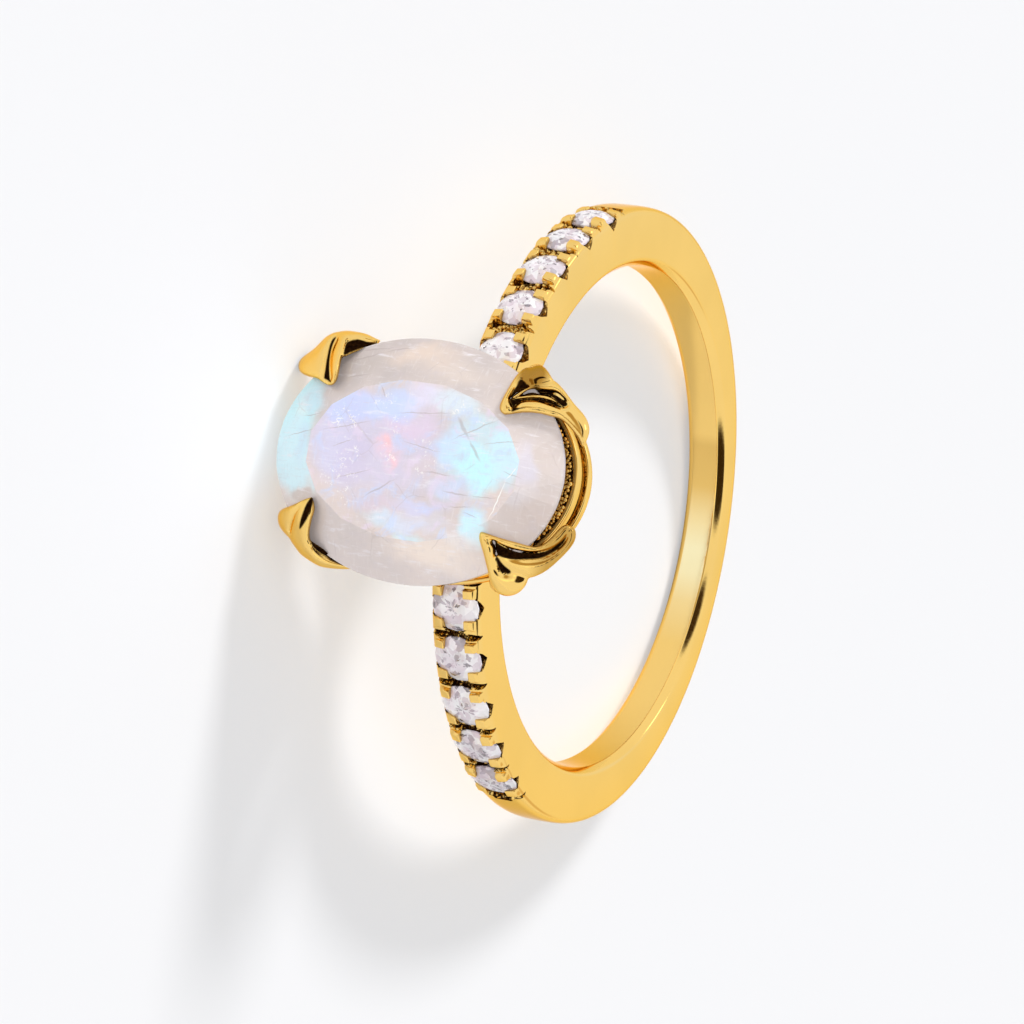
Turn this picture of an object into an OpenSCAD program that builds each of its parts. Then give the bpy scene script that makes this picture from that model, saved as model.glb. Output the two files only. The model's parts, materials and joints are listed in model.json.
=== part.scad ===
// Ring with an oval faceted moonstone in a four-prong basket head and a row of
// five small round stones on each shoulder of a slim polished band.
// Millimetres. The ring lies on its side: the two lower prongs and the back of
// the band touch the plane Z = 0, and the finger axis leans by rest_tilt.

/* [Band] */
// Inner radius of the band (half of the finger hole's diameter)
bore_r = 8.66; // [8.2:0.02:9.4]
// Radial thickness of the band at the back
back_th = 1.16; // [1:0.02:1.5]
// Growth of the thickness towards the shoulders
grow_th = 1.37; // [1:0.01:1.5]
// Slimming of that growth under the head
slim_th = 0.562; // [0.4:0.002:0.62]
// Half of the band's width at the back
back_hw = 0.73; // [0.7:0.01:1]
// Half of the band's width under the head
front_hw = 0.9; // [0.85:0.01:1.1]
// Bevel on the inner edges
inner_bevel = 0.17; // [0.08:0.01:0.25]

/* [Moonstone] */
// Half of the stone's length, along the finger axis
stone_a = 5.2; // [4.9:0.05:5.3]
// Half of the stone's width, around the finger
stone_d = 3.85; // [3.6:0.05:3.9]
// Height of the girdle plane above the ring's centre
girdle_s = 13.5; // [13.45:0.01:13.7]
// Crown height above the girdle plane
crown_h = 1; // [0.8:0.05:1.05]
// Pavilion depth below the girdle plane
pavilion_h = 2.95; // [2.5:0.05:3]
// Table length as a share of the stone's length
table_a = 0.72; // [0.6:0.01:0.74]
// Table width as a share of the stone's width
table_d = 0.64; // [0.55:0.01:0.66]

/* [Basket head] */
// Half length of the gallery's outline, along the finger axis
rail_a = 5.12; // [5:0.02:5.16]
// Half width of the gallery's outline
rail_d = 3.62; // [3.5:0.02:3.7]
// Height of the upper rail's middle above the ring's centre
rail_top_s = 12.62; // [12.5:0.02:12.7]
// Height of the lower rail's middle above the ring's centre
rail_low_s = 11.82; // [11.7:0.02:11.9]
// Height of each rail
rail_h = 0.34; // [0.25:0.01:0.4]
// Wall of the rails
rail_w = 0.42; // [0.3:0.02:0.5]
// Depth of the groove between the two rails
rail_groove = 0.18; // [0.1:0.01:0.22]

/* [Shoulder stones] */
// Diameter of each shoulder stone
accent_dia = 1.5; // [1.4:0.05:1.55]
// Stones on each shoulder
accent_n = 5; // [5:1:5]
// Angle of the first stone from the head's axis
accent_first = 24.2; // [24:0.1:26]
// Angle between neighbouring stones
accent_step = 10.15; // [10.1:0.05:10.4]
// Depth of the girdle below the band's surface
accent_sink = 0.13; // [0.1:0.01:0.2]

/* [Hidden] */

// Outer radius of the band at angle t from the head's axis.
function outer_r(t) = bore_r + back_th + grow_th * (1 + cos(t)) - slim_th * pow(1 + cos(t), 2);
// Half width of the band at angle t.
function half_w(t) = back_hw + (front_hw - back_hw) * (1 + cos(t)) / 2;

// Rounded outline of the band's section, as [depth below the outer surface, share inside the side face].
// Rows: depth, inset from the side face.
section_rows = [[3, 0], [0.3, 0], [0.14, 0.05], [0.03, 0.17], [-0.02, 0.42]];

// One ring of points of the band's outside at angle t, from the lower side face to the upper one.
function band_ring(t) = let (o = outer_r(t), w = half_w(t)) concat(
    [for (k = [0 : 4]) let (r = section_rows[k], q = max(o - r[0], bore_r - 0.6)) [q * sin(t), -q * cos(t), -(w - r[1])]],
    [for (k = [4 : -1 : 0]) let (r = section_rows[k], q = max(o - r[0], bore_r - 0.6)) [q * sin(t), -q * cos(t), w - r[1]]]);

// Closed loop of equal rings: each ring is joined to the next, the last to the first.
module loop_skin(rings) {
    n = len(rings);
    m = len(rings[0]);
    polyhedron(points = [for (r = rings) for (q = r) q],
        faces = [for (i = [0 : n - 1]) for (j = [0 : m - 1]) each
            let (a = i * m + j, b = i * m + (j + 1) % m, c = ((i + 1) % n) * m + (j + 1) % m, d = ((i + 1) % n) * m + j)
            [[a, b, c], [a, c, d]]]);
}

// Rings of m points round a path of points with one radius each, square to the path.
function tube_rings(pts, rad, ref, m) = let (n = len(pts)) [for (i = [0 : n - 1])
    let (t0 = pts[min(i + 1, n - 1)] - pts[max(i - 1, 0)], t = t0 / norm(t0),
         u0 = cross(t, ref), u = u0 / norm(u0), v = cross(t, u))
    [for (k = [0 : m - 1]) pts[i] + rad[i] * (cos(360 * k / m) * u + sin(360 * k / m) * v)]];

// Capped tube through rings of equal length.
module tube(rings) {
    n = len(rings);
    m = len(rings[0]);
    polyhedron(points = [for (r = rings) for (q = r) q],
        faces = concat(
            [[for (k = [0 : m - 1]) k]],
            [for (i = [0 : n - 2]) for (k = [0 : m - 1]) each
                let (a = i * m + k, b = i * m + (k + 1) % m, c = (i + 1) * m + (k + 1) % m, d = (i + 1) * m + k)
                [[a, d, c], [a, c, b]]],
            [[for (k = [m - 1 : -1 : 0]) (n - 1) * m + k]]));
}

// Smooth point on a chain of control points at u from 0 to 1.
function chain(c, u) = let (n = len(c) - 1, k = min(floor(u * n), n - 1), f = u * n - k,
    p0 = c[max(k - 1, 0)], p1 = c[k], p2 = c[k + 1], p3 = c[min(k + 2, n)])
    0.5 * (2 * p1 + f * (p2 - p0) + f * f * (2 * p0 - 5 * p1 + 4 * p2 - p3) + f * f * f * (3 * p1 - p0 - 3 * p2 + p3));

// Rows of a prong's three arms. Columns: around the finger, along the finger axis, height, radius.
end_arm = [[2.06, 3.3, 14.42, 0.2], [2.5, 4.08, 14.16, 0.3], [2.42, 4.86, 13.62, 0.33], [1.98, 5.12, 13.04, 0.34], [1.5, 5.08, 12.68, 0.32]];
side_arm = [[2.06, 3.3, 14.42, 0.2], [2.84, 3.66, 14.16, 0.3], [3.56, 3.52, 13.62, 0.33], [3.78, 3.06, 12.9, 0.34], [3.66, 2.72, 12.2, 0.3]];
stem_arm = [[2.62, 3.92, 14.05, 0.28], [3, 4.34, 13.4, 0.42], [2.94, 4.1, 12.5, 0.46], [2.6, 3.3, 11.6, 0.46], [2.1, 1.9, 10.7, 0.48], [1.7, 0.5, 9.7, 0.45]];

// Rings of an arm, with n steps along it and m points round it.
function arm_rings(rows, n = 8, m = 8) = tube_rings([for (i = [0 : n]) let (q = chain(rows, i / n)) [q[0], q[1], q[2]]],
    [for (i = [0 : n]) chain(rows, i / n)[3]], [1, -0.9, 0.35], m);

// Outer contact points that carry the ring: a lower prong's lobe, and the back edge of the band.
// Height above the ring's centre and distance from the middle plane.
lobe_c = [12.72, 5.06];
lobe_r = 0.35;
edge_c = [-(bore_r + back_th - section_rows[1][0]), back_hw];
// The tangent from the edge to the lobe's circle gives the tilt at rest.
rest_tilt = atan2(lobe_c[1] - edge_c[1], lobe_c[0] - edge_c[0]) + asin(lobe_r / norm(lobe_c - edge_c));
rest_z = edge_c[1] * cos(rest_tilt) - edge_c[0] * sin(rest_tilt);
// The head's end and the band's back are equally far from the origin along Y.
function reach(q) = q[2] * cos(rest_tilt) + q[1] * sin(rest_tilt);
head_y = max(max([for (q = arm_rings(end_arm)[0]) reach(q)]), max([for (q = arm_rings(side_arm)[0]) reach(q)]),
    reach([0, table_a * stone_a, girdle_s + crown_h]));
back_y = max([for (q = band_ring(180)) -q[2] * sin(rest_tilt) + q[1] * cos(rest_tilt)]);
rest_y = (head_y - back_y) / 2;

// One prong: two arms that spread from the tip along the stone's edge, and the stem down to the band.
module prong() {
    tube(arm_rings(end_arm));
    tube(arm_rings(side_arm));
    tube(arm_rings(stem_arm, 10));
}

// Oval outline: half length along the finger axis, half width around the finger.
function oval(a, d, n = 64) = [for (i = [0 : n - 1]) [d * cos(360 * i / n), a * sin(360 * i / n)]];

// Oval gallery of two rails with a groove between them, open through its middle.
module gallery() {
    difference() {
        union() {
            for (s = [rail_top_s, rail_low_s])
                translate([0, 0, s - rail_h / 2])
                    linear_extrude(rail_h) polygon(oval(rail_a, rail_d));
            translate([0, 0, rail_low_s])
                linear_extrude(rail_top_s - rail_low_s) polygon(oval(rail_a - rail_groove, rail_d - rail_groove));
        }
        translate([0, 0, rail_low_s - 1])
            linear_extrude(3) polygon(oval(rail_a - rail_w, rail_d - rail_w));
    }
}

// Puts the head's coordinates (around the finger, along the finger axis, height) onto the ring.
module on_head() { rotate([90, 0, 0]) children(); }

// Puts a feature on the band's outside at angle t, its Z pointing outwards.
module on_band(t, lift = 0) { rotate([0, 0, t]) translate([0, -(outer_r(abs(t)) + lift), 0]) rotate([90, 0, 0]) children(); }

// Angle of shoulder stone k: 0 to 4 on one shoulder, 5 to 9 on the other.
function accent_t(k) = (k < accent_n ? -1 : 1) * (accent_first + accent_step * (k % accent_n));

// Round stone with its girdle at Z = 0: grown by g all round.
module round_stone(g = 0, top = 0) {
    r = accent_dia / 2 + g;
    rotate_extrude($fn = 48) polygon(concat(
        [[0, -0.62 - 1.5 * g], [r, -0.05 - g / 2], [r, g / 2]],
        top > 0 ? [[r - 0.06, 0.04 + g / 2], [r - 0.06, top], [0, top]] : [[accent_dia * 0.29, 0.22], [0, 0.22]]));
}

// Seats, side scallops and the small split between neighbouring claws, cut into a shoulder.
module shoulder_cuts() {
    for (k = [0 : 2 * accent_n - 1]) {
        on_band(accent_t(k), -accent_sink) round_stone(0.04, 1.2);
        on_band(accent_t(k), 0.05) rotate([90, 0, 0]) cylinder(h = 4, r = 0.5, center = true, $fn = 32);
    }
    for (s = [-1, 1]) for (i = [0 : accent_n])
        on_band(s * (accent_first + accent_step * (i - 0.5)), 0.02) rotate([90, 0, 0]) cylinder(h = 4, r = 0.12, center = true, $fn = 24);
}

// Claws: four on each shoulder stone.
module claws() {
    for (k = [0 : 2 * accent_n - 1]) for (e = [-1, 1]) for (w = [-1, 1])
        on_band(accent_t(k) + e * accent_step * 0.36, -0.4) translate([0, w * 0.66, 0]) cylinder(h = 0.52, r = 0.17, $fn = 24);
}

// The whole cast mount, in the ring's own frame: finger axis along Z, head towards -Y.
module mount_body() {
    difference() {
        union() {
            loop_skin([for (i = [0 : 79]) band_ring(360 * i / 80)]);
            claws();
            on_head() {
                gallery();
                for (x = [0, 1]) for (y = [0, 1])
                    mirror([x, 0, 0]) mirror([0, y, 0]) prong();
            }
        }
        cylinder(h = 8, r = bore_r, center = true, $fn = 128);
        for (w = [0, 1]) mirror([0, 0, w])
            translate([0, 0, back_hw - inner_bevel - 0.1]) cylinder(h = 0.8, r1 = bore_r - 0.1, r2 = bore_r + 0.7, $fn = 128);
        shoulder_cuts();
        on_head() stone_body(0.05);
    }
}

// Ring of n points of the moonstone at height z: shares of the half length and half width, grown by g.
function stone_ring(n, ka, kd, z, g = 0) =
    [for (i = [0 : n - 1]) [(kd * stone_d + g) * cos(360 * i / n), (ka * stone_a + g) * sin(360 * i / n), girdle_s + z]];

// Oval faceted stone: table, crown, thin girdle, pavilion to a point. Grown by g all round, it cuts its own seat.
module stone_body(g = 0) {
    n = 16;
    points = concat(stone_ring(n, table_a, table_d, crown_h + g, g / 2), stone_ring(2 * n, 1, 1, 0.07 + g / 2, g),
        stone_ring(2 * n, 1, 1, -0.07 - g / 2, g), stone_ring(2 * n, 0.62, 0.62, -pavilion_h * 0.56 - g / 2, g), [[0, 0, girdle_s - pavilion_h - g]]);
    polyhedron(points = points, faces = concat(
        [[for (i = [n - 1 : -1 : 0]) i]],
        [for (i = [0 : n - 1]) each let (t = i, u = (i + 1) % n, g = n + 2 * i, h = g + 1, k = n + (2 * i + 2) % (2 * n))
            [[t, h, g], [t, u, h], [u, k, h]]],
        [for (b = [0, 1]) for (i = [0 : 2 * n - 1]) each
            let (a = n + 2 * n * b + i, c = n + 2 * n * b + (i + 1) % (2 * n)) [[a, c, c + 2 * n], [a, c + 2 * n, a + 2 * n]]],
        [for (i = [0 : 2 * n - 1]) [5 * n + i, 5 * n + (i + 1) % (2 * n), 7 * n]]));
}

// Lays the ring down on its side.
module at_rest() { translate([0, rest_y, rest_z]) rotate([-rest_tilt, 0, 0]) children(); }

module ring_mount() { color("gold") at_rest() mount_body(); }
module moonstone() { color("lavender") at_rest() on_head() stone_body(); }
module accent_stone(k) { color("aliceblue") at_rest() on_band(accent_t(k), -accent_sink) round_stone(); }

ring_mount();
moonstone();
accent_stone(0);  // accent_stone_1
accent_stone(1);  // accent_stone_2
accent_stone(2);  // accent_stone_3
accent_stone(3);  // accent_stone_4
accent_stone(4);  // accent_stone_5
accent_stone(5);  // accent_stone_6
accent_stone(6);  // accent_stone_7
accent_stone(7);  // accent_stone_8
accent_stone(8);  // accent_stone_9
accent_stone(9);  // accent_stone_10
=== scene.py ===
import bmesh
import bpy
import json
import math
import numpy as np
from mathutils import Matrix, Vector, noise

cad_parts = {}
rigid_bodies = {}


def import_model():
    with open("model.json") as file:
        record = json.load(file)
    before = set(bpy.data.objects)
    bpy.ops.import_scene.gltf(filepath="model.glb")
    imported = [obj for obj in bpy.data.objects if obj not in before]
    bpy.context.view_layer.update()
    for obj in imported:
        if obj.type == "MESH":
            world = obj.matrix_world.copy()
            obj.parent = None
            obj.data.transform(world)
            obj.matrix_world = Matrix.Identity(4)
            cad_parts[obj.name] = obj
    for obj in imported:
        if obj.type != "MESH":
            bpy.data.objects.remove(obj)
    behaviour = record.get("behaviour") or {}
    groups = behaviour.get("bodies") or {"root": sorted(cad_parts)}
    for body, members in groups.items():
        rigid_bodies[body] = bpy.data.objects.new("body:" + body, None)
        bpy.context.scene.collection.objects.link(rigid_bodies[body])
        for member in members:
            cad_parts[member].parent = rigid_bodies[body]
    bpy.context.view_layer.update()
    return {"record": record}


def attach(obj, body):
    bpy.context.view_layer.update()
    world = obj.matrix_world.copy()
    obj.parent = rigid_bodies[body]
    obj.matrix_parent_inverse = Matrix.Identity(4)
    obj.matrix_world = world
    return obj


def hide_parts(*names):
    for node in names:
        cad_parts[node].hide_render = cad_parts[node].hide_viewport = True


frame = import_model()

# ------------------------------------------------------------------ the ring's own frame
# Millimetres. X: around the finger at the head, Y: away from the head, Z: the finger axis.
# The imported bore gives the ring's centre and the lean of the finger axis.
bore = next(m for m in frame["record"]["mounts"] if m["name"] == "finger_bore")
CENTRE = np.array(bore["pos_m"], float)
LEAN = math.atan2(bore["axis"][1], bore["axis"][2])
SL, CL = math.sin(LEAN), math.cos(LEAN)


def turn(P):
    P = np.asarray(P, float).reshape(-1, 3)
    return np.c_[P[:, 0], P[:, 1] * CL + P[:, 2] * SL, -P[:, 1] * SL + P[:, 2] * CL]


def place(P):
    return turn(P) * 0.001 + CENTRE


# Head coordinates: d around the finger, a along the finger axis, s height above the ring's centre.
def head(P):
    P = np.asarray(P, float).reshape(-1, 3)
    return np.c_[P[:, 0], -P[:, 2], P[:, 1]]


BORE, BACK_TH, GROW, SLIM = 8.66, 1.16, 1.37, 0.562
BACK_HW, FRONT_HW = 0.73, 0.9
ACC_FIRST, ACC_STEP, ACC_SINK = 24.2, 10.15, 0.13


def outer_r(t):
    c = 1 + np.cos(np.radians(t))
    return BORE + BACK_TH + GROW * c - SLIM * c * c


def half_w(t):
    return BACK_HW + (FRONT_HW - BACK_HW) * (1 + np.cos(np.radians(t))) / 2


def on_band(P, t):
    """Points with x along the band, y along the finger axis and z outwards, put at angle t from the head."""
    P = np.asarray(P, float).reshape(-1, 3)
    r = float(outer_r(abs(t)))
    a = math.radians(t)
    x, y, z = P[:, 0], P[:, 1], P[:, 2] + r
    return np.c_[x * math.cos(a) + z * math.sin(a), x * math.sin(a) - z * math.cos(a), y]


# ------------------------------------------------------------------ mesh helpers
COL = bpy.context.scene.collection


def mesh_obj(name, V, F, mats=(), world=False):
    me = bpy.data.meshes.new(name)
    V = np.asarray(V, float)
    me.from_pydata((V if world else place(V)).tolist(), [], F.tolist() if isinstance(F, np.ndarray) else F)
    me.validate()
    me.update()
    o = bpy.data.objects.new(name, me)
    COL.objects.link(o)
    for m in mats:
        me.materials.append(m)
    return o


def smooth(o, angle=32.0):
    me = o.data
    me.shade_smooth()
    me.set_sharp_from_angle(angle=math.radians(angle))


def apply_mods(o):
    dg = bpy.context.evaluated_depsgraph_get()
    me = bpy.data.meshes.new_from_object(o.evaluated_get(dg), preserve_all_data_layers=True, depsgraph=dg)
    old = o.data
    o.modifiers.clear()
    o.data = me
    me.name = o.name
    bpy.data.meshes.remove(old)


def piece(o, node):
    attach(o, "root")
    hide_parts(node)
    return o


def grid_faces(n, m, close_n=True, close_m=True):
    i, j = np.meshgrid(np.arange(n if close_n else n - 1), np.arange(m if close_m else m - 1), indexing="ij")
    a = i * m + j
    b = i * m + (j + 1) % m
    c = ((i + 1) % n) * m + (j + 1) % m
    d = ((i + 1) % n) * m + j
    return np.stack([a, b, c, d], -1).reshape(-1, 4)


def smin(a, b, k):
    h = np.clip(0.5 + 0.5 * (b - a) / k, 0, 1)
    return b + (a - b) * h - k * h * (1 - h)


def smax(a, b, k):
    return -smin(-a, -b, k)


def catmull(rows, m):
    rows = np.asarray(rows, float)
    n = len(rows) - 1
    out = []
    for k in range(n):
        p0, p1, p2, p3 = rows[max(k - 1, 0)], rows[k], rows[k + 1], rows[min(k + 2, n)]
        for f in np.arange(m) / m:
            out.append(0.5 * (2 * p1 + f * (p2 - p0) + f * f * (2 * p0 - 5 * p1 + 4 * p2 - p3) + f ** 3 * (3 * p1 - p0 - 3 * p2 + p3)))
    out.append(rows[-1])
    return np.array(out)


def tube_d(P, rows, m=4, reach=0.6):
    """Distance to a tapered tube through rows of x, y, z, radius, within reach of it."""
    q = catmull(rows, m)
    best = np.full(len(P), 9.0)
    grow = q[:, 3:].max() + reach
    near = np.flatnonzero(((P > q[:, :3].min(0) - grow) & (P < q[:, :3].max(0) + grow)).all(1))
    X, Y, Z = P[near].T
    low = np.full(len(near), 9.0)
    for a, b in zip(q[:-1], q[1:]):
        u = b[:3] - a[:3]
        x, y, z = X - a[0], Y - a[1], Z - a[2]
        t = np.clip((x * u[0] + y * u[1] + z * u[2]) / (u @ u), 0, 1)
        d = np.sqrt((x - t * u[0]) ** 2 + (y - t * u[1]) ** 2 + (z - t * u[2]) ** 2) - (a[3] + (b[3] - a[3]) * t)
        np.minimum(low, d, out=low)
    best[near] = low
    return best


def surface(field, lo, hi, h, block=8):
    """Quads on the zero surface of field (negative inside), on a grid of step h, by surface nets with a projection."""
    lo = np.asarray(lo, float)
    n = np.ceil((np.asarray(hi) - lo) / h / block).astype(int) * block
    shape = n + 1
    F = np.full(shape, 1.0)
    nb = n // block
    ctr = np.stack(np.meshgrid(*[np.arange(k) for k in nb], indexing="ij"), -1).reshape(-1, 3)
    fc = field(lo + (ctr * block + block / 2) * h)
    reach = block * h * 0.87 * 1.5 + h
    for c, f in zip(ctr[np.abs(fc) >= reach], fc[np.abs(fc) >= reach]):
        if f < 0:
            a = c * block
            F[a[0]:a[0] + block + 1, a[1]:a[1] + block + 1, a[2]:a[2] + block + 1] = -1.0
    near = ctr[np.abs(fc) < reach]
    g = np.stack(np.meshgrid(*[np.arange(block + 1)] * 3, indexing="ij"), -1).reshape(-1, 3)
    for k in range(0, len(near), 400):
        idx = (near[k:k + 400, None, :] * block + g[None]).reshape(-1, 3)
        F[idx[:, 0], idx[:, 1], idx[:, 2]] = field(lo + idx * h)
    F[np.abs(F) < 1e-9] = 1e-9
    I = F < 0
    cells = tuple(s - 1 for s in F.shape)
    acc = np.zeros(cells + (3,), np.float32)
    cnt = np.zeros(cells, np.float32)
    for ax in range(3):
        o1, o2 = [k for k in range(3) if k != ax]
        for u in (0, 1):
            for v in (0, 1):
                s0 = [slice(0, c) for c in cells]
                s0[o1] = slice(u, u + cells[o1])
                s0[o2] = slice(v, v + cells[o2])
                s1 = list(s0)
                s1[ax] = slice(1, 1 + cells[ax])
                f0, f1 = F[tuple(s0)], F[tuple(s1)]
                cr = (f0 < 0) != (f1 < 0)
                t = np.where(cr, f0 / np.where(cr, f0 - f1, 1), 0)
                acc[..., ax] += t
                acc[..., o1] += u * cr
                acc[..., o2] += v * cr
                cnt += cr
    act = cnt > 0
    ids = np.full(cells, -1, np.int64)
    ids[act] = np.arange(act.sum())
    V = lo + (np.argwhere(act) + acc[act] / cnt[act][:, None]) * h
    quads = []
    for ax in range(3):
        o1, o2 = [(1, 2), (2, 0), (0, 1)][ax]
        a0 = [slice(None)] * 3
        a1 = [slice(None)] * 3
        a0[ax], a1[ax] = slice(0, -1), slice(1, None)
        e = I[tuple(a0)] != I[tuple(a1)]
        e = e.copy()
        for o in (o1, o2):
            for end in (0, -1):
                s = [slice(None)] * 3
                s[o] = end
                e[tuple(s)] = False
        w = np.argwhere(e)
        if not len(w):
            continue
        neg = I[tuple(w.T)]

        def cell(du, dv):
            c = w.copy()
            c[:, o1] -= du
            c[:, o2] -= dv
            return ids[c[:, 0], c[:, 1], c[:, 2]]
        q = np.stack([cell(0, 0), cell(1, 0), cell(1, 1), cell(0, 1)], 1)
        q[~neg] = q[~neg][:, ::-1]
        quads.append(q)
    Q = np.concatenate(quads)
    Q = Q[(Q >= 0).all(1)]
    # relax along the surface, then step back onto it
    E = np.concatenate([Q[:, [0, 1]], Q[:, [1, 2]], Q[:, [2, 3]], Q[:, [3, 0]]])
    deg = np.bincount(E.ravel(), minlength=len(V)).astype(float)
    eps = h * 0.5
    for _ in range(3):
        s = np.zeros_like(V)
        np.add.at(s, E[:, 0], V[E[:, 1]])
        np.add.at(s, E[:, 1], V[E[:, 0]])
        V = V * 0.45 + s / deg[:, None] * 0.55
        f = field(V)
        G = np.stack([field(V + np.eye(3)[k] * eps) - field(V - np.eye(3)[k] * eps) for k in range(3)], 1) / (2 * eps)
        g2 = np.maximum((G * G).sum(1), 0.2)
        V = V - G * np.clip(f / g2, -h, h)[:, None]
    return V, Q


def soften(V, Q, rounds, hold, least=0.15):
    """Even the surface out by moving each point towards its neighbours, only by the share least where hold is 1."""
    E = np.concatenate([Q[:, [0, 1]], Q[:, [1, 2]], Q[:, [2, 3]], Q[:, [3, 0]]])
    i, j = np.concatenate([E[:, 0], E[:, 1]]), np.concatenate([E[:, 1], E[:, 0]])
    deg = np.bincount(i, minlength=len(V))
    share = (0.6 - (0.6 - least) * hold)[:, None]
    for _ in range(rounds):
        mean = np.stack([np.bincount(i, weights=V[j, k], minlength=len(V)) / deg for k in range(3)], 1)
        V = V + (mean - V) * share
    return V


# ------------------------------------------------------------------ material helpers
class Nodes:
    def __init__(self, name):
        self.mat = bpy.data.materials.new(name)
        self.mat.use_nodes = True
        self.t = self.mat.node_tree
        self.t.nodes.clear()
        self.out = self.add("ShaderNodeOutputMaterial")

    def add(self, kind, **kw):
        n = self.t.nodes.new(kind)
        for k, v in kw.items():
            setattr(n, k, v)
        return n

    def link(self, a, b):
        self.t.links.new(a, b)

    def put(self, socket, v):
        if isinstance(v, bpy.types.NodeSocket):
            self.link(v, socket)
        else:
            socket.default_value = v

    def math(self, op, a, b=0.0, c=0.0, clamp=False):
        n = self.add("ShaderNodeMath", operation=op, use_clamp=clamp)
        for s, v in zip(n.inputs, (a, b, c)):
            self.put(s, v)
        return n.outputs[0]

    def vmath(self, op, a, b=(0, 0, 0), scale=None):
        n = self.add("ShaderNodeVectorMath", operation=op)
        self.put(n.inputs[0], a)
        if op in ("ADD", "SUBTRACT", "MULTIPLY", "DOT_PRODUCT", "DISTANCE", "DIVIDE"):
            self.put(n.inputs[1], b)
        if scale is not None:
            self.put(n.inputs["Scale"], scale)
        return n.outputs["Value"] if op in ("DOT_PRODUCT", "LENGTH", "DISTANCE") else n.outputs["Vector"]

    def noise(self, vec, scale, detail=2.0, rough=0.5, distortion=0.0):
        n = self.add("ShaderNodeTexNoise")
        self.put(n.inputs["Vector"], vec)
        n.inputs["Scale"].default_value = scale
        n.inputs["Detail"].default_value = detail
        n.inputs["Roughness"].default_value = rough
        n.inputs["Distortion"].default_value = distortion
        return n

    def ramp(self, x, a, b, lo=0.0, hi=1.0, kind="SMOOTHSTEP"):
        n = self.add("ShaderNodeMapRange", interpolation_type=kind, clamp=True) if kind != "LINEAR" else self.add("ShaderNodeMapRange", clamp=True)
        self.put(n.inputs["Value"], x)
        n.inputs["From Min"].default_value = a
        n.inputs["From Max"].default_value = b
        n.inputs["To Min"].default_value = lo
        n.inputs["To Max"].default_value = hi
        return n.outputs["Result"]

    def mix(self, f, a, b, blend="MIX"):
        n = self.add("ShaderNodeMix", data_type="RGBA", blend_type=blend)
        self.put(n.inputs["Factor"], f)
        for s, v in ((n.inputs[6], a), (n.inputs[7], b)):
            self.put(s, v if isinstance(v, bpy.types.NodeSocket) else (*v, 1.0))
        return n.outputs[2]


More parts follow.
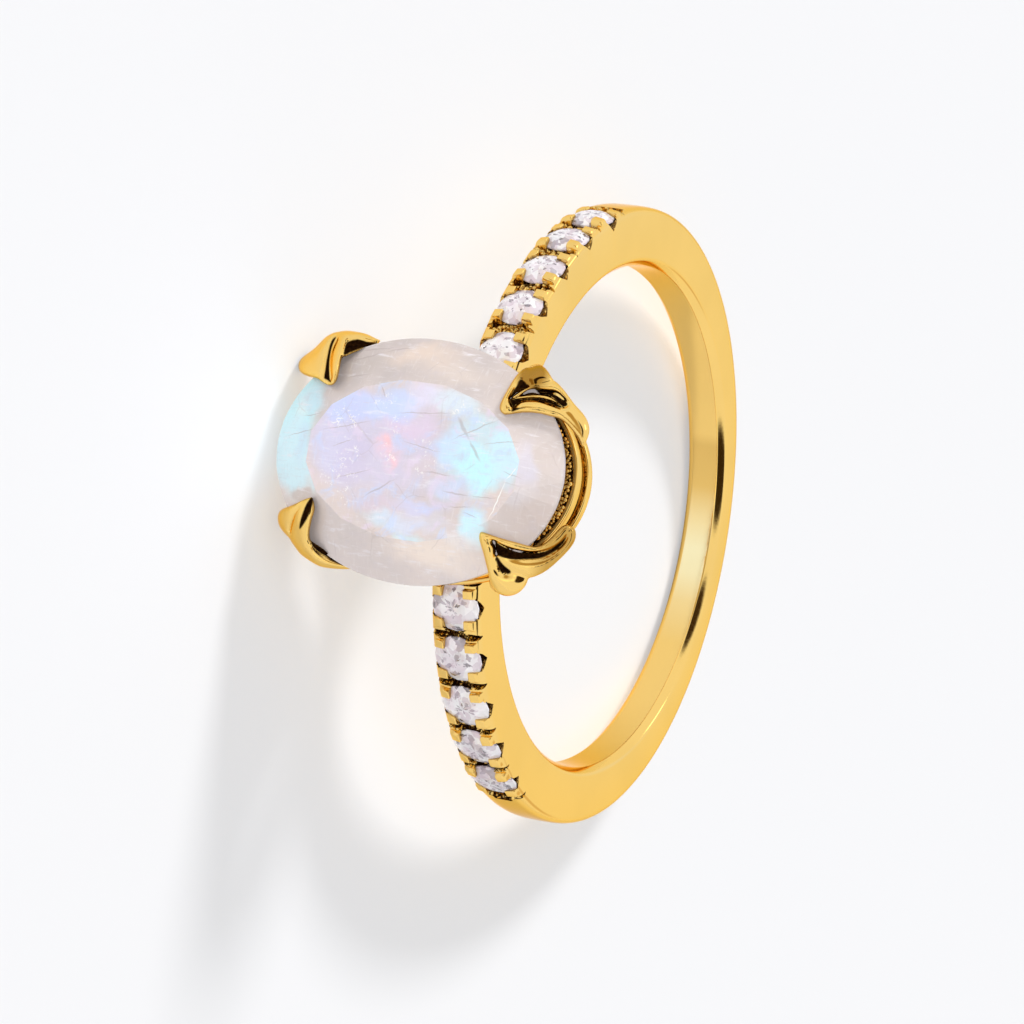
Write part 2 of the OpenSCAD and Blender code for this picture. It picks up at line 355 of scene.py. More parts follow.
def gold_material(name, base, deep, rough=0.1, ao_mm=0.5, ao_lo=0.15, ao_hi=0.75, grain=0.0, gap_shade=1.0):
    m = Nodes(name)
    p = m.add("ShaderNodeBsdfPrincipled")
    p.inputs["Metallic"].default_value = 1.0
    p.inputs["Specular Tint"].default_value = (1.0, 0.75, 0.38, 1)
    co = m.add("ShaderNodeTexCoord").outputs["Object"]
    mm = m.vmath("SCALE", co, scale=1000.0)
    big = m.noise(mm, 0.35, 2.0, 0.5)
    fine = m.noise(mm, 9.0, 3.0, 0.6)
    tint = m.mix(m.ramp(big.outputs["Fac"], 0.3, 0.7), tuple(c * 0.975 for c in base), tuple(min(c * 1.02, 1) for c in base))
    # painted shade: the base colour darkens towards the deep colour in hollows that ambient occlusion finds
    ao = m.add("ShaderNodeAmbientOcclusion", samples=8)
    ao.inputs["Distance"].default_value = ao_mm * 0.001
    dark = m.ramp(ao.outputs["AO"], ao_lo, ao_hi, 1.0, 0.0)
    # painted darker reflection and painted highlight, from two mesh attributes
    film = m.add("ShaderNodeAttribute", attribute_name="film").outputs["Fac"]
    tint = m.mix(film, tint, (base[0] * 0.42, base[1] * 0.30, base[2] * 0.12))
    tint = m.mix(m.add("ShaderNodeAttribute", attribute_name="pale").outputs["Fac"], tint, (1.0, 0.94, 0.6))
    m.link(m.mix(dark, tint, deep), p.inputs["Base Color"])
    # painted shade: the graved pits and the deepest hollows that ambient occlusion finds turn near-black and dull
    graved = m.add("ShaderNodeAttribute", attribute_name="graved").outputs["Fac"]
    shade_bsdf = m.add("ShaderNodeBsdfPrincipled")
    m.link(m.mix(m.ramp(fine.outputs["Fac"], 0.35, 0.7), (0.006, 0.002, 0.0008), (0.022, 0.008, 0.002)), shade_bsdf.inputs["Base Color"])
    shade_bsdf.inputs["Roughness"].default_value = 0.45
    shade_bsdf.inputs["Specular IOR Level"].default_value = 0.0
    fill = m.math("MAXIMUM", graved, m.ramp(ao.outputs["AO"], ao_lo * 0.6, ao_lo * 1.6, 1.0, 0.0))
    if grain:
        # beads left by the cutter, with painted shade in the gaps between them
        beads = m.add("ShaderNodeTexVoronoi", feature="DISTANCE_TO_EDGE")
        m.link(mm, beads.inputs["Vector"])
        beads.inputs["Scale"].default_value = 6.0
        gaps = m.math("MULTIPLY", m.ramp(beads.outputs["Distance"], 0.12, 0.04), m.ramp(big.outputs["Fac"], 0.3, 0.5, 0.7 * gap_shade, gap_shade))
        fill = m.math("MAXIMUM", fill, gaps)
    both = m.add("ShaderNodeMixShader")
    m.link(fill, both.inputs[0])
    m.link(p.outputs[0], both.inputs[1])
    m.link(shade_bsdf.outputs[0], both.inputs[2])
    m.link(both.outputs[0], m.out.inputs["Surface"])
    r = m.math("ADD", m.ramp(fine.outputs["Fac"], 0.3, 0.75, rough * 0.75, rough * 1.3), m.ramp(big.outputs["Fac"], 0.3, 0.7, 0.0, rough * 0.2))
    m.link(r, p.inputs["Roughness"])
    # fine polishing marks, and small lumps where the casting is left rough
    bump = m.add("ShaderNodeBump")
    bump.inputs["Strength"].default_value = 0.05
    bump.inputs["Distance"].default_value = 0.00002
    m.link(fine.outputs["Fac"], bump.inputs["Height"])
    last = bump.outputs["Normal"]
    if grain:
        v = m.add("ShaderNodeTexVoronoi", feature="SMOOTH_F1")
        m.link(mm, v.inputs["Vector"])
        v.inputs["Scale"].default_value = 6.0
        b2 = m.add("ShaderNodeBump", invert=True)
        b2.inputs["Strength"].default_value = grain
        b2.inputs["Distance"].default_value = 0.00012
        m.link(v.outputs["Distance"], b2.inputs["Height"])
        m.link(last, b2.inputs["Normal"])
        last = b2.outputs["Normal"]
    m.link(last, p.inputs["Normal"])
    return m.mat


# The second colour given to each gold below is its painted shade for hollows.
GOLD = (0.93, 0.625, 0.19)
HOLLOW_SHADE = (0.10, 0.035, 0.006)
gold = gold_material("polished_gold", GOLD, HOLLOW_SHADE, 0.09)
gold_cut = gold_material("cut_gold", GOLD, (0.16, 0.06, 0.012), 0.12, ao_mm=0.35, ao_lo=0.13, ao_hi=0.62, grain=0.5)
gold_rough = gold_material("rough_gold", GOLD, (0.24, 0.10, 0.018), 0.12, ao_mm=0.2, ao_lo=0.06, ao_hi=0.42, grain=0.7, gap_shade=0.45)
gold_grain = gold_material("grain_gold", GOLD, (0.2, 0.08, 0.015), 0.12, ao_mm=0.25, ao_lo=0.06, ao_hi=0.5)


# ------------------------------------------------------------------ band
ST = 480
SECTION_IN = [(0.0, 0.3), (0.006, 0.262), (0.022, 0.228), (0.17, 0.048), (0.2, 0.022), (0.24, 0.005), (0.3, 0.0)]   # height above the bore, inset from the side
SECTION_OUT = [(0.3, 0.0), (0.2, 0.008), (0.13, 0.028), (0.075, 0.07), (0.035, 0.135), (0.005, 0.24), (-0.015, 0.42), (-0.02, 0.62)]   # depth, inset


def band_section(t):
    o, w = float(outer_r(t)), float(half_w(t))
    half = [(BORE + a, w - b) for a, b in SECTION_IN] + [(o - a, w - b) for a, b in SECTION_OUT]
    return [(r, -v) for r, v in half] + [(r, v) for r, v in half[::-1]]


V = []
for t in np.arange(ST) * 360.0 / ST:
    a = math.radians(t)
    V += [(r * math.sin(a), -r * math.cos(a), v) for r, v in band_section(t)]
M = len(band_section(0))
band = mesh_obj("band", V, grid_faces(ST, M), (gold, gold_cut, gold_rough))

# What the setter's graver takes out of a shoulder: seats, side scallops, splits between claws and rough hollows
# between the stones. Coordinates: angle along the band in millimetres at the surface, across, height over the surface.
R0 = 10.45
KA = R0 * math.pi / 180


def cutter_field(side):
    rng = np.random.default_rng(7 if side < 0 else 11)
    seats = [(ACC_FIRST + ACC_STEP * k) * KA for k in range(5)]
    gaps = [(ACC_FIRST + ACC_STEP * (k - 0.5)) * KA for k in range(6)]
    many, wide, seat_r, deep = (90, 0.66, 0.8, 0.28) if side < 0 else (26, 0.34, 0.84, 0.36)
    beads = [np.array([(g + rng.uniform(-0.42, 0.42), rng.uniform(-1.3, 1.3) * wide, rng.uniform(-0.1, 0.12) - deep, rng.uniform(0.06, 0.11)) for _ in range(many)]) for g in gaps]
    jit = rng.uniform(-0.035, 0.035, (6, 4))

    def field(P):
        out = np.full(len(P), 9.0)
        rough = np.full(len(P), 9.0)
        U, V_, H = P[:, 0], P[:, 1], P[:, 2]
        for k, c in enumerate(seats):
            near = np.flatnonzero(np.abs(U - c) < 1.1)
            u, v, h = U[near], V_[near], H[near]
            av = np.abs(v)
            x = u - c
            r = np.sqrt(x * x + v * v)
            seat = np.maximum(r - seat_r, -(h + 0.18))
            cone = (r - seat_r - (h + 0.18) * 1.05) * 0.69
            seat = np.minimum(seat, np.maximum(np.maximum(cone, -(h + 0.62)), h + 0.1))
            # side scallop, pointed at the bottom
            xs = np.abs(x + jit[k, 0] * (v > 0) + jit[k, 1] * (v < 0))
            sc = smax(xs - 0.35, (xs - (h + 0.44 + jit[k, 2])) * 0.7071, 0.1)
            sc = np.maximum(sc, 0.42 - av)
            out[near] = np.minimum(out[near], np.minimum(seat, sc))
        for k, g in enumerate(gaps):
            near = np.flatnonzero(np.abs(U - g) < 0.9)
            u, v, h = U[near], V_[near], H[near]
            av = np.abs(v)
            x = u - g
            hollow = smax(smax(np.abs(x) - 0.34, av - wide, 0.08), -(h + deep), 0.08)
            xv = np.abs(x + jit[k, 3])
            split = smax((xv - (h + deep - 0.06) * 0.42) * 0.92, 0.3 - av, 0.04)
            out[near] = np.minimum(out[near], smin(hollow, split, 0.05))
            near = near[(np.abs(x) < 0.6) & (av < 1.0) & (h < -0.05)]
            u, v, h = U[near], V_[near], H[near]
            d = np.full(len(near), 9.0)
            for b in beads[k]:
                d = np.minimum(d, np.sqrt((u - b[0]) ** 2 + (v - b[1]) ** 2 + (h - b[2]) ** 2) - b[3])
            rough[near] = np.minimum(rough[near], d)
        out = smax(out, -rough, 0.025)
        out = np.maximum(out, H - 0.42)
        return np.maximum(out, np.abs(V_) - 1.08)
    return field


for side in (-1, 1):
    lo = ((ACC_FIRST - ACC_STEP * 0.5) * KA - 0.7, -1.2, -0.9)
    hi = ((ACC_FIRST + ACC_STEP * 4.5) * KA + 0.7, 1.2, 0.55)
    CV, CQ = surface(cutter_field(side), lo, hi, 0.034)
    t = CV[:, 0] / KA
    r = outer_r(t) + CV[:, 2]
    a = np.radians(t)
    P = np.c_[side * r * np.sin(a), -r * np.cos(a), CV[:, 1] * side]
    cutter = mesh_obj("cutter_%d" % (side > 0), P, CQ, (gold_cut if side > 0 else gold_rough,))
    mod = band.modifiers.new("cut", "BOOLEAN")
    mod.operation = "DIFFERENCE"
    mod.solver = "MANIFOLD"
    mod.object = cutter
    mod.material_mode = "TRANSFER"
apply_mods(band)
for o in [o for o in bpy.data.objects if o.name.startswith("cutter_")]:
    bpy.data.objects.remove(o)
smooth(band, 35)
# The inner face: painted darker reflection in places, and a painted highlight along one stretch. Degrees from the head,
# share.
DIM_REFL_AT, DIM_REFL = (90, 104, 124, 138, 185, 193, 204, 207, 228, 262, 272), (0.0, 0.3, 0.12, 0.0, 0.0, 0.2, 0.3, 0.05, 0.12, 0.05, 0.0)
BRIGHT_REFL_AT, BRIGHT_REFL = (155, 166, 173, 179, 186, 194), (0.0, 0.3, 0.75, 0.85, 0.45, 0.0)
co = np.array([v.co for v in band.data.vertices])
flat = (co - CENTRE) @ np.array([[1, 0, 0], [0, CL, -SL], [0, SL, CL]]).T * 1000
deg = np.degrees(np.arctan2(flat[:, 0], -flat[:, 1])) % 360
inner = np.hypot(flat[:, 0], flat[:, 1]) < BORE + 0.01
for name, at, share in (("film", DIM_REFL_AT, DIM_REFL), ("pale", BRIGHT_REFL_AT, BRIGHT_REFL)):
    layer = band.data.attributes.new(name, "FLOAT", "POINT")
    layer.data.foreach_set("value", (np.interp(deg, at, share) * inner).astype(np.float32))
piece(band, "ring_mount")

# Claws: four pads over the edge of each shoulder stone, with the rest of each claw below it.
rng = np.random.default_rng(3)
V, F = [], []
for side in (-1, 1):
    for k in range(5):
        t0 = ACC_FIRST + ACC_STEP * k
        for e in (-1, 1):
            for w in (-1, 1):
                j = rng.uniform(-0.02, 0.02, 6)
                cx, cy = e * (0.585 + j[0]), w * (0.55 + j[1])
                tx, ty = 0.15 + j[2] * 0.8, 0.16 + j[3] * 0.6
                rows = [  # height, half length, lowest and highest distance from the middle
                    (-0.62, 0.2, 0.34, 0.845), (-0.2, 0.185, 0.37, 0.83), (0.0, tx + 0.025, abs(cy) - ty - 0.02, 0.76), (0.1 + j[4], tx, abs(cy) - ty, abs(cy) + ty)]
                base = len(V)
                q = []
                for i, (z, hx, y0, y1) in enumerate(rows):
                    sk = 0.05 * e * (i / 3)
                    for sx, yy in ((-1, y0), (1, y0), (1, y1), (-1, y1)):
                        q.append((cx + sx * hx - sk, w * yy, z + (0.03 * (1 if yy == y0 else -1) if i == 3 else 0)))
                q = on_band(q, side * t0)
                V += q.tolist()
                fl = [[base + i * 4 + a, base + i * 4 + (a + 1) % 4, base + (i + 1) * 4 + (a + 1) % 4, base + (i + 1) * 4 + a] for i in range(3) for a in range(4)]
                fl += [[base + 3, base + 2, base + 1, base], [base + 12, base + 13, base + 14, base + 15]]
                if w < 0:
                    fl = [f[::-1] for f in fl]
                F += fl
claws = mesh_obj("shoulder_claws", V, F, (gold,))
bev = claws.modifiers.new("soft_edges", "BEVEL")
bev.width = 0.00005
bev.segments = 3
bev.limit_method = "ANGLE"
bev.angle_limit = math.radians(20)
apply_mods(claws)
smooth(claws, 40)
piece(claws, "ring_mount")

# The moonstone: half length and half width, height of the girdle, crown, pavilion, share that the table takes.
SA, SD, GS, CH, PH, TA, TD = 5.12, 3.92, 13.5, 0.9, 2.95, 0.742, 0.65
SHIFT = -0.08

# ------------------------------------------------------------------ prongs
# Each prong is a split leaf: lobes that spring from the tip over the stone, with hollows graved between them that carry
# painted shade.
# The four were carved by hand and differ, so each has its own outlines, laid out flat at height 14 around the
# finger and along its axis in the prong's own quarter, and cut in along a slant. A lobe starts with how round its
# edge is and how much it stands up.
CLAWS = {
    "prong_1": (1, 1, 0.50, [
        (0.30, 0.00, [(1.90, 2.73), (1.91, 2.87), (2.02, 3.46), (2.10, 4.17), (2.15, 4.74), (1.96, 5.06), (1.65, 5.31), (1.40, 5.50), (1.30, 5.69), (1.39, 5.81), (1.62, 5.75), (1.93, 5.54), (2.18, 5.17), (2.33, 4.57), (2.31, 3.93), (2.21, 3.49), (2.11, 3.26), (2.15, 2.99), (2.06, 2.76)]),
        (0.45, 0.03, [(2.60, 3.50), (2.64, 3.93), (2.58, 4.44), (2.48, 4.95), (2.31, 5.26), (2.12, 5.50), (1.88, 5.67), (1.68, 5.73), (1.43, 5.72), (1.35, 5.84), (1.46, 6.00), (1.73, 6.05), (2.07, 5.91), (2.60, 5.49), (2.93, 5.14), (3.14, 4.73), (3.12, 4.41), (2.99, 4.03), (2.78, 3.68)]),
        (0.45, 0.00, [(1.97, 2.71), (1.94, 2.88), (2.15, 3.20), (2.36, 3.35), (2.60, 3.40), (2.81, 3.47), (3.02, 3.58), (3.09, 3.74), (3.11, 3.95), (3.01, 4.11), (3.12, 4.48), (3.18, 4.67), (3.44, 4.61), (3.69, 4.41), (3.83, 4.09), (3.81, 3.81), (3.66, 3.53), (3.37, 3.33), (3.07, 3.21), (2.54, 2.96), (2.18, 2.75)]),
    ], [
        [(2.11, 3.30), (2.22, 3.50), (2.33, 3.87), (2.38, 4.23), (2.36, 4.58), (2.23, 5.07), (2.03, 5.38), (1.83, 5.59), (1.68, 5.73), (1.90, 5.67), (2.12, 5.50), (2.31, 5.26), (2.48, 4.95), (2.58, 4.44), (2.64, 3.93), (2.59, 3.57), (2.56, 3.46), (2.35, 3.38)],
        [(2.60, 3.41), (2.62, 3.50), (2.78, 3.68), (2.91, 3.91), (2.99, 4.03), (3.09, 4.02), (3.11, 3.92), (3.08, 3.84), (3.10, 3.70), (2.96, 3.57), (2.78, 3.47)],
    ]),
    "prong_2": (1, -1, 0.56, [
        (0.30, -0.02, [(2.43, 4.49), (2.23, 4.44), (2.11, 4.27), (1.93, 3.94), (1.75, 3.65), (1.97, 3.75), (2.22, 3.88), (2.52, 3.93), (2.78, 3.95), (3.03, 3.90), (3.01, 4.02), (2.82, 4.28), (2.65, 4.42)]),
        (0.34, 0.00, [(1.77, 3.68), (1.61, 3.45), (1.60, 3.35), (1.77, 3.24), (2.03, 3.19), (2.29, 3.24), (2.62, 3.25), (2.87, 3.22), (3.08, 3.12), (3.28, 2.90), (3.45, 2.53), (3.55, 2.15), (3.56, 1.82), (3.60, 1.52), (3.68, 1.25), (3.75, 1.56), (3.81, 2.10), (3.81, 2.64), (3.66, 3.11), (3.51, 3.44), (3.29, 3.70), (3.12, 3.88), (2.88, 3.97), (2.52, 3.97), (2.22, 3.92), (1.95, 3.79)]),
    ], [
        [(1.60, 3.38), (1.62, 3.32), (1.85, 3.31), (2.11, 3.35), (2.35, 3.42), (2.56, 3.52), (2.70, 3.60), (2.64, 3.65), (2.38, 3.65), (2.12, 3.61), (1.88, 3.55), (1.71, 3.47)],
        [(3.02, 3.13), (3.09, 2.94), (3.23, 2.58), (3.41, 2.18), (3.55, 1.82), (3.53, 2.12), (3.45, 2.50), (3.31, 2.86), (3.17, 3.07)],
    ]),
    "prong_3": (-1, 1, 0.50, [
        (0.28, 0.00, [(1.99, 2.64), (2.26, 2.69), (2.62, 2.83), (3.03, 3.00), (3.27, 3.17), (3.43, 3.42), (3.19, 3.32), (2.99, 3.22), (2.75, 3.09), (2.48, 2.97), (2.32, 2.93), (2.17, 3.03), (2.05, 3.12), (1.92, 3.08), (1.80, 2.89), (1.85, 2.74)]),
        (0.30, 0.00, [(1.80, 2.89), (1.95, 3.03), (2.06, 3.15), (2.23, 3.26), (2.31, 3.39), (2.37, 3.66), (2.39, 4.00), (2.33, 4.36), (2.25, 4.73), (2.10, 5.04), (1.92, 5.32), (1.64, 5.65), (1.41, 5.83), (1.15, 5.74), (1.35, 5.60), (1.57, 5.35), (1.82, 5.02), (1.94, 4.72), (1.96, 4.44), (2.00, 4.08), (1.97, 3.56), (1.86, 3.12)]),
        (0.40, 0.00, [(2.75, 3.65), (2.91, 3.90), (3.05, 4.23), (3.09, 4.32), (3.02, 4.51), (2.77, 4.84), (2.44, 5.21), (2.20, 5.54), (1.97, 5.76), (1.70, 5.88), (1.45, 5.86), (1.15, 5.74), (1.44, 5.51), (1.69, 5.26), (1.97, 4.99), (2.22, 4.73), (2.30, 4.86), (2.41, 4.98), (2.58, 4.80), (2.71, 4.57), (2.74, 4.29), (2.73, 3.97)]),
        (0.08, -0.05, [(2.36, 3.01), (2.50, 3.16), (2.68, 3.37), (2.79, 3.56), (2.88, 3.73), (2.90, 3.90), (2.85, 3.86), (2.72, 3.62), (2.61, 3.43), (2.43, 3.22), (2.35, 3.06)]),
        (0.08, -0.05, [(2.32, 3.07), (2.43, 3.29), (2.53, 3.63), (2.58, 3.97), (2.56, 4.28), (2.48, 4.51), (2.34, 4.76), (2.41, 4.56), (2.46, 4.30), (2.48, 3.99), (2.45, 3.64), (2.37, 3.30)]),
        (0.35, 0.02, [(3.02, 3.21), (3.23, 3.35), (3.37, 3.46), (3.48, 3.62), (3.53, 3.78), (3.46, 3.97), (3.32, 4.14), (3.15, 4.28), (3.09, 4.32), (2.99, 4.06), (2.90, 3.83), (2.82, 3.64), (2.86, 3.46)]),
    ], [
        [(2.98, 3.19), (2.87, 3.45), (2.82, 3.55), (2.70, 3.35), (2.53, 3.13), (2.39, 2.99), (2.32, 2.94), (2.48, 2.97), (2.75, 3.09)],
        [(2.33, 3.07), (2.43, 3.24), (2.56, 3.46), (2.63, 3.64), (2.65, 3.76), (2.63, 3.94), (2.65, 4.29), (2.65, 4.50), (2.56, 4.73), (2.43, 4.97), (2.32, 4.92), (2.32, 4.78), (2.45, 4.55), (2.58, 4.32), (2.60, 3.96), (2.55, 3.62), (2.44, 3.29)],
        [(2.31, 2.97), (2.36, 3.31), (2.44, 3.64), (2.46, 3.99), (2.44, 4.34), (2.39, 4.56), (2.31, 4.79), (2.25, 4.73), (2.33, 4.36), (2.39, 4.00), (2.37, 3.66), (2.31, 3.39), (2.20, 3.27), (2.08, 3.18), (2.12, 3.56), (2.05, 3.37), (1.92, 3.08), (2.08, 3.10), (2.23, 2.98)],
    ]),
    "prong_4": (-1, -1, 0.56, [
        (0.42, 0.00, [(2.52, 4.73), (2.69, 4.69), (2.87, 4.51), (3.09, 4.26), (3.31, 4.08), (3.53, 3.90), (3.69, 3.64), (3.70, 3.50), (3.43, 3.63), (3.19, 3.69), (2.93, 3.75), (2.60, 3.75), (2.28, 3.76), (2.18, 3.71), (2.07, 3.61), (1.98, 3.48), (2.00, 3.63), (2.13, 3.92), (2.16, 4.22), (2.22, 4.49), (2.33, 4.66)]),
        (0.32, 0.00, [(3.65, 3.67), (3.80, 3.26), (3.81, 2.82), (3.77, 2.41), (3.67, 2.10), (3.62, 1.87), (3.53, 2.22), (3.53, 2.48), (3.57, 2.74), (3.50, 3.02), (3.36, 3.14), (3.09, 3.16), (2.90, 3.19), (2.63, 3.21), (2.34, 3.21), (2.11, 3.25), (2.00, 3.34), (1.98, 3.48), (2.08, 3.54), (2.15, 3.44), (2.40, 3.51), (2.72, 3.58), (3.04, 3.59), (3.31, 3.53), (3.55, 3.47)]),
    ], [
        [(3.56, 3.51), (3.37, 3.58), (3.11, 3.62), (2.78, 3.61), (2.46, 3.56), (2.21, 3.49), (2.06, 3.42), (2.13, 3.59), (2.18, 3.71), (2.44, 3.72), (2.77, 3.73), (3.09, 3.72), (3.36, 3.69), (3.51, 3.61)],
        [(3.37, 3.14), (3.48, 3.01), (3.57, 2.74), (3.54, 2.44), (3.53, 2.18), (3.54, 2.00), (3.43, 2.20), (3.35, 2.40), (3.23, 2.67), (3.10, 2.94), (3.00, 3.10), (3.06, 3.17)],
    ]),
}
# The stems below the girdle are alike in all four.
STEMS = [
    [(2.7, 3.6, 13.1, 0.3), (2.65, 3.65, 12.7, 0.36), (2.5, 3.6, 12.1, 0.4), (2.3, 3.1, 11.2, 0.42), (1.95, 1.7, 10.4, 0.44), (1.55, 0.4, 9.8, 0.42)],
    [(3.3, 3.0, 12.5, 0.36), (2.9, 2.9, 11.8, 0.4), (2.4, 2.4, 11.0, 0.42)],
]


def outline_d(u, v, rows):
    """Distance to a closed, smoothed outline, negative inside it."""
    n = len(rows)
    q = catmull([rows[(k - 1) % n] for k in range(n + 3)], 2)[2:-2]
    best = np.full(len(u), 1e9)
    inside = np.zeros(len(u), bool)
    for (ax, ay), (bx, by) in zip(q[:-1], q[1:]):
        ex, ey = bx - ax, by - ay
        wx, wy = u - ax, v - ay
        t = np.clip((wx * ex + wy * ey) / max(ex * ex + ey * ey, 1e-12), 0, 1)
        np.minimum(best, (wx - t * ex) ** 2 + (wy - t * ey) ** 2, out=best)
        if ay != by:
            inside ^= ((ay > v) != (by > v)) & (u < ax + (v - ay) / ey * ex)
    d = np.sqrt(best)
    return np.where(inside, -d, d)


def stone_gap(P, y):
    """Rough distance outside the stone's crown and girdle."""
    f = np.clip((P[:, 2] - 13.57) / 0.83, 0, 1)
    g = np.clip((13.43 - P[:, 2]) / 1.65, 0, 1)
    D, A = SD * (1 - (1 - TD) * f) * (1 - 0.38 * g), SA * (1 - (1 - TA) * f) * (1 - 0.38 * g)
    q = np.sqrt((P[:, 0] / D) ** 2 + ((P[:, 1] - y * SHIFT) / A) ** 2)
    slope = np.where((P[:, 2] > 13.57) | (P[:, 2] < 13.43), 0.56, 1.0)
    return np.maximum((q - 1) * np.minimum(D, A) * slope, P[:, 2] - GS - CH)


def flat_at_14(P, x, y, lean):
    return P[:, 0] - x * 0.08 * (P[:, 2] - 14), P[:, 1] - y * lean * (P[:, 2] - 14)


def claw_field(x, y, lean, lobes, pits):
    def field(P):
        u, v = flat_at_14(P, x, y, lean)
        z = P[:, 2]
        q = np.sqrt((P[:, 0] / SD) ** 2 + (P[:, 1] / SA) ** 2)
        top = 14.52 - 3.6 * smax(q - 0.87, 0, 0.1) - 0.5 * np.maximum(3.1 - P[:, 1], 0) * np.clip((q - 0.88) / 0.08, 0, 1)
        f, whole = None, None
        for edge, lift, rows in lobes:
            o = outline_d(u, v, rows)
            g = smax(o, z - top - lift, edge)
            f = g if f is None else smin(f, g, 0.03)
            whole = o if whole is None else smin(whole, o, 0.06)
        for rows in pits:
            whole = smin(whole, outline_d(u, v, rows) - (0.06 if x + y < 0 else 0.0), 0.06)
        f = smin(f, smax(whole + 0.01, z - top + 0.2, 0.08), 0.03)
        f = np.maximum(f, top - 0.75 - z)
        f = smin(f, tube_d(P, STEMS[0][:3], 4), 0.2)
        f = np.maximum(f, 0.015 - stone_gap(P, y))
        # worn flat where it rests on the floor
        f = smax(f, 0.02 - place(head(P * (x, y, 1)))[:, 2] * 1000, 0.05)
        return np.maximum(f, 12.35 - z)
    return field


def stem_field(P):
    f = smin(tube_d(P, STEMS[0]), tube_d(P, STEMS[1]), 0.2)
    f = np.maximum(f, BORE + 0.25 - np.sqrt(P[:, 0] ** 2 + P[:, 2] ** 2))
    return np.maximum(f, -(P[:, 1] - 0.02))


def paint(o, name, values):
    at = o.data.attributes.new(name, "FLOAT", "POINT")
    at.data.foreach_set("value", np.asarray(values, np.float32))


for name, (x, y, lean, lobes, pits) in CLAWS.items():
    PV, PQ = surface(claw_field(x, y, lean, lobes, pits), (0.3, 0.9, 12.2), (4.4, 5.9, 14.75), 0.028 if name == "prong_3" else 0.034)
    u, v = flat_at_14(PV, x, y, lean)
    # painted shade fills the pits
    graved = np.clip((0.012 - np.min([outline_d(u, v, rows) for rows in pits], 0)) / 0.03, 0, 1)
    graved *= np.clip((PV[:, 2] - 12.9) / 0.2, 0, 1)
    PV = soften(PV, PQ, 12, graved)
    # the rounded foot of the outermost lobe
    far = np.hypot(u - 3.25, v - 3.85) if name == "prong_1" else np.hypot(u - 3.15, v - 3.6) if name == "prong_3" else None
    if far is not None:
        PV = soften(PV, PQ, 50, np.clip((far - 0.45) / 0.35, 0, 1), 0.0)
    o = mesh_obj(name, head(PV * (x, y, 1)), PQ if x * y > 0 else PQ[:, ::-1], (gold,))
    paint(o, "graved", graved)
    # painted darker reflection on the outer lobes of two prongs
    film = np.zeros(len(PV))
    if name == "prong_3":
        film = 0.9 * np.clip((0.68 - np.hypot(u - 3.22, v - 3.6)) / 0.3, 0, 1)
    elif name == "prong_1":
        film = 0.6 * np.clip((v - 4.6) / 0.6, 0, 1)
    paint(o, "film", film)
    smooth(o, 60)
    piece(o, "ring_mount")
SV, SQ = surface(stem_field, (0.5, 0.0, 8.9), (4.2, 5.2, 13.8), 0.075)
for k, (x, y) in enumerate(((1, 1), (1, -1), (-1, 1), (-1, -1))):
    o = mesh_obj("stem_%d" % (k + 1), head(SV * (x, y, 1)), SQ if x * y > 0 else SQ[:, ::-1], (gold,))
    smooth(o, 60)
    piece(o, "ring_mount")

# ------------------------------------------------------------------ gallery


def oval_sweep(rows, n=192, a0=5.12, d0=3.62):
    """Rows of (outset from the oval a0 x d0, height), swept around it."""
    th = np.arange(n) * 2 * math.pi / n
    nx, ny = np.cos(th) * a0, np.sin(th) * d0
    ln = np.sqrt(nx * nx + ny * ny)
    V = []
    for i in range(n):
        for off, s in rows:
            V.append((d0 * math.cos(th[i]) + off * nx[i] / ln[i], a0 * math.sin(th[i]) + off * ny[i] / ln[i], s))
    return np.array(V), grid_faces(n, len(rows))


def rounded(x0, x1, y0, y1, r, k=3):
    out = []
    for cx, cy, a0 in ((x1 - r, y1 - r, 0), (x0 + r, y1 - r, 90), (x0 + r, y0 + r, 180), (x1 - r, y0 + r, 270)):
        for i in range(k + 1):
            a = math.radians(a0 + 90 * i / k)
            out.append((cx + r * math.cos(a), cy + r * math.sin(a)))
    return out


GV, GF = [], []
for rows in (rounded(-0.13, 0.05, 12.42, 12.8, 0.06), rounded(-0.26, 0.06, 11.66, 11.98, 0.07), rounded(-0.34, -0.2, 11.8, 12.6, 0.03)):
    v, f = oval_sweep(rows)
    GF += (f + len(GV)).tolist()
    GV += v.tolist()
gallery = mesh_obj("gallery", head(GV), GF, (gold,))
smooth(gallery, 40)
piece(gallery, "ring_mount")


def bead_mesh(centres, radii, seg=8, rings=5):
    th = np.linspace(0, math.pi, rings + 1)[1:-1]
    ph = np.arange(seg) * 2 * math.pi / seg
    base = [(0, 0, 1)] + [(math.sin(a) * math.cos(b), math.sin(a) * math.sin(b), math.cos(a)) for a in th for b in ph] + [(0, 0, -1)]
    base = np.array(base)
    fs = []
    m = len(th)
    for j in range(seg):
        fs.append([0, 1 + j, 1 + (j + 1) % seg])
        fs.append([len(base) - 1, 1 + (m - 1) * seg + (j + 1) % seg, 1 + (m - 1) * seg + j])
        for i in range(m - 1):
            fs.append([1 + i * seg + j, 1 + (i + 1) * seg + j, 1 + (i + 1) * seg + (j + 1) % seg, 1 + i * seg + (j + 1) % seg])
    V, F = [], []
    for c, r in zip(centres, radii):
        n = len(V)
        V += (base * r + c).tolist()
        F += [[n + i for i in f] for f in fs]
    return V, F


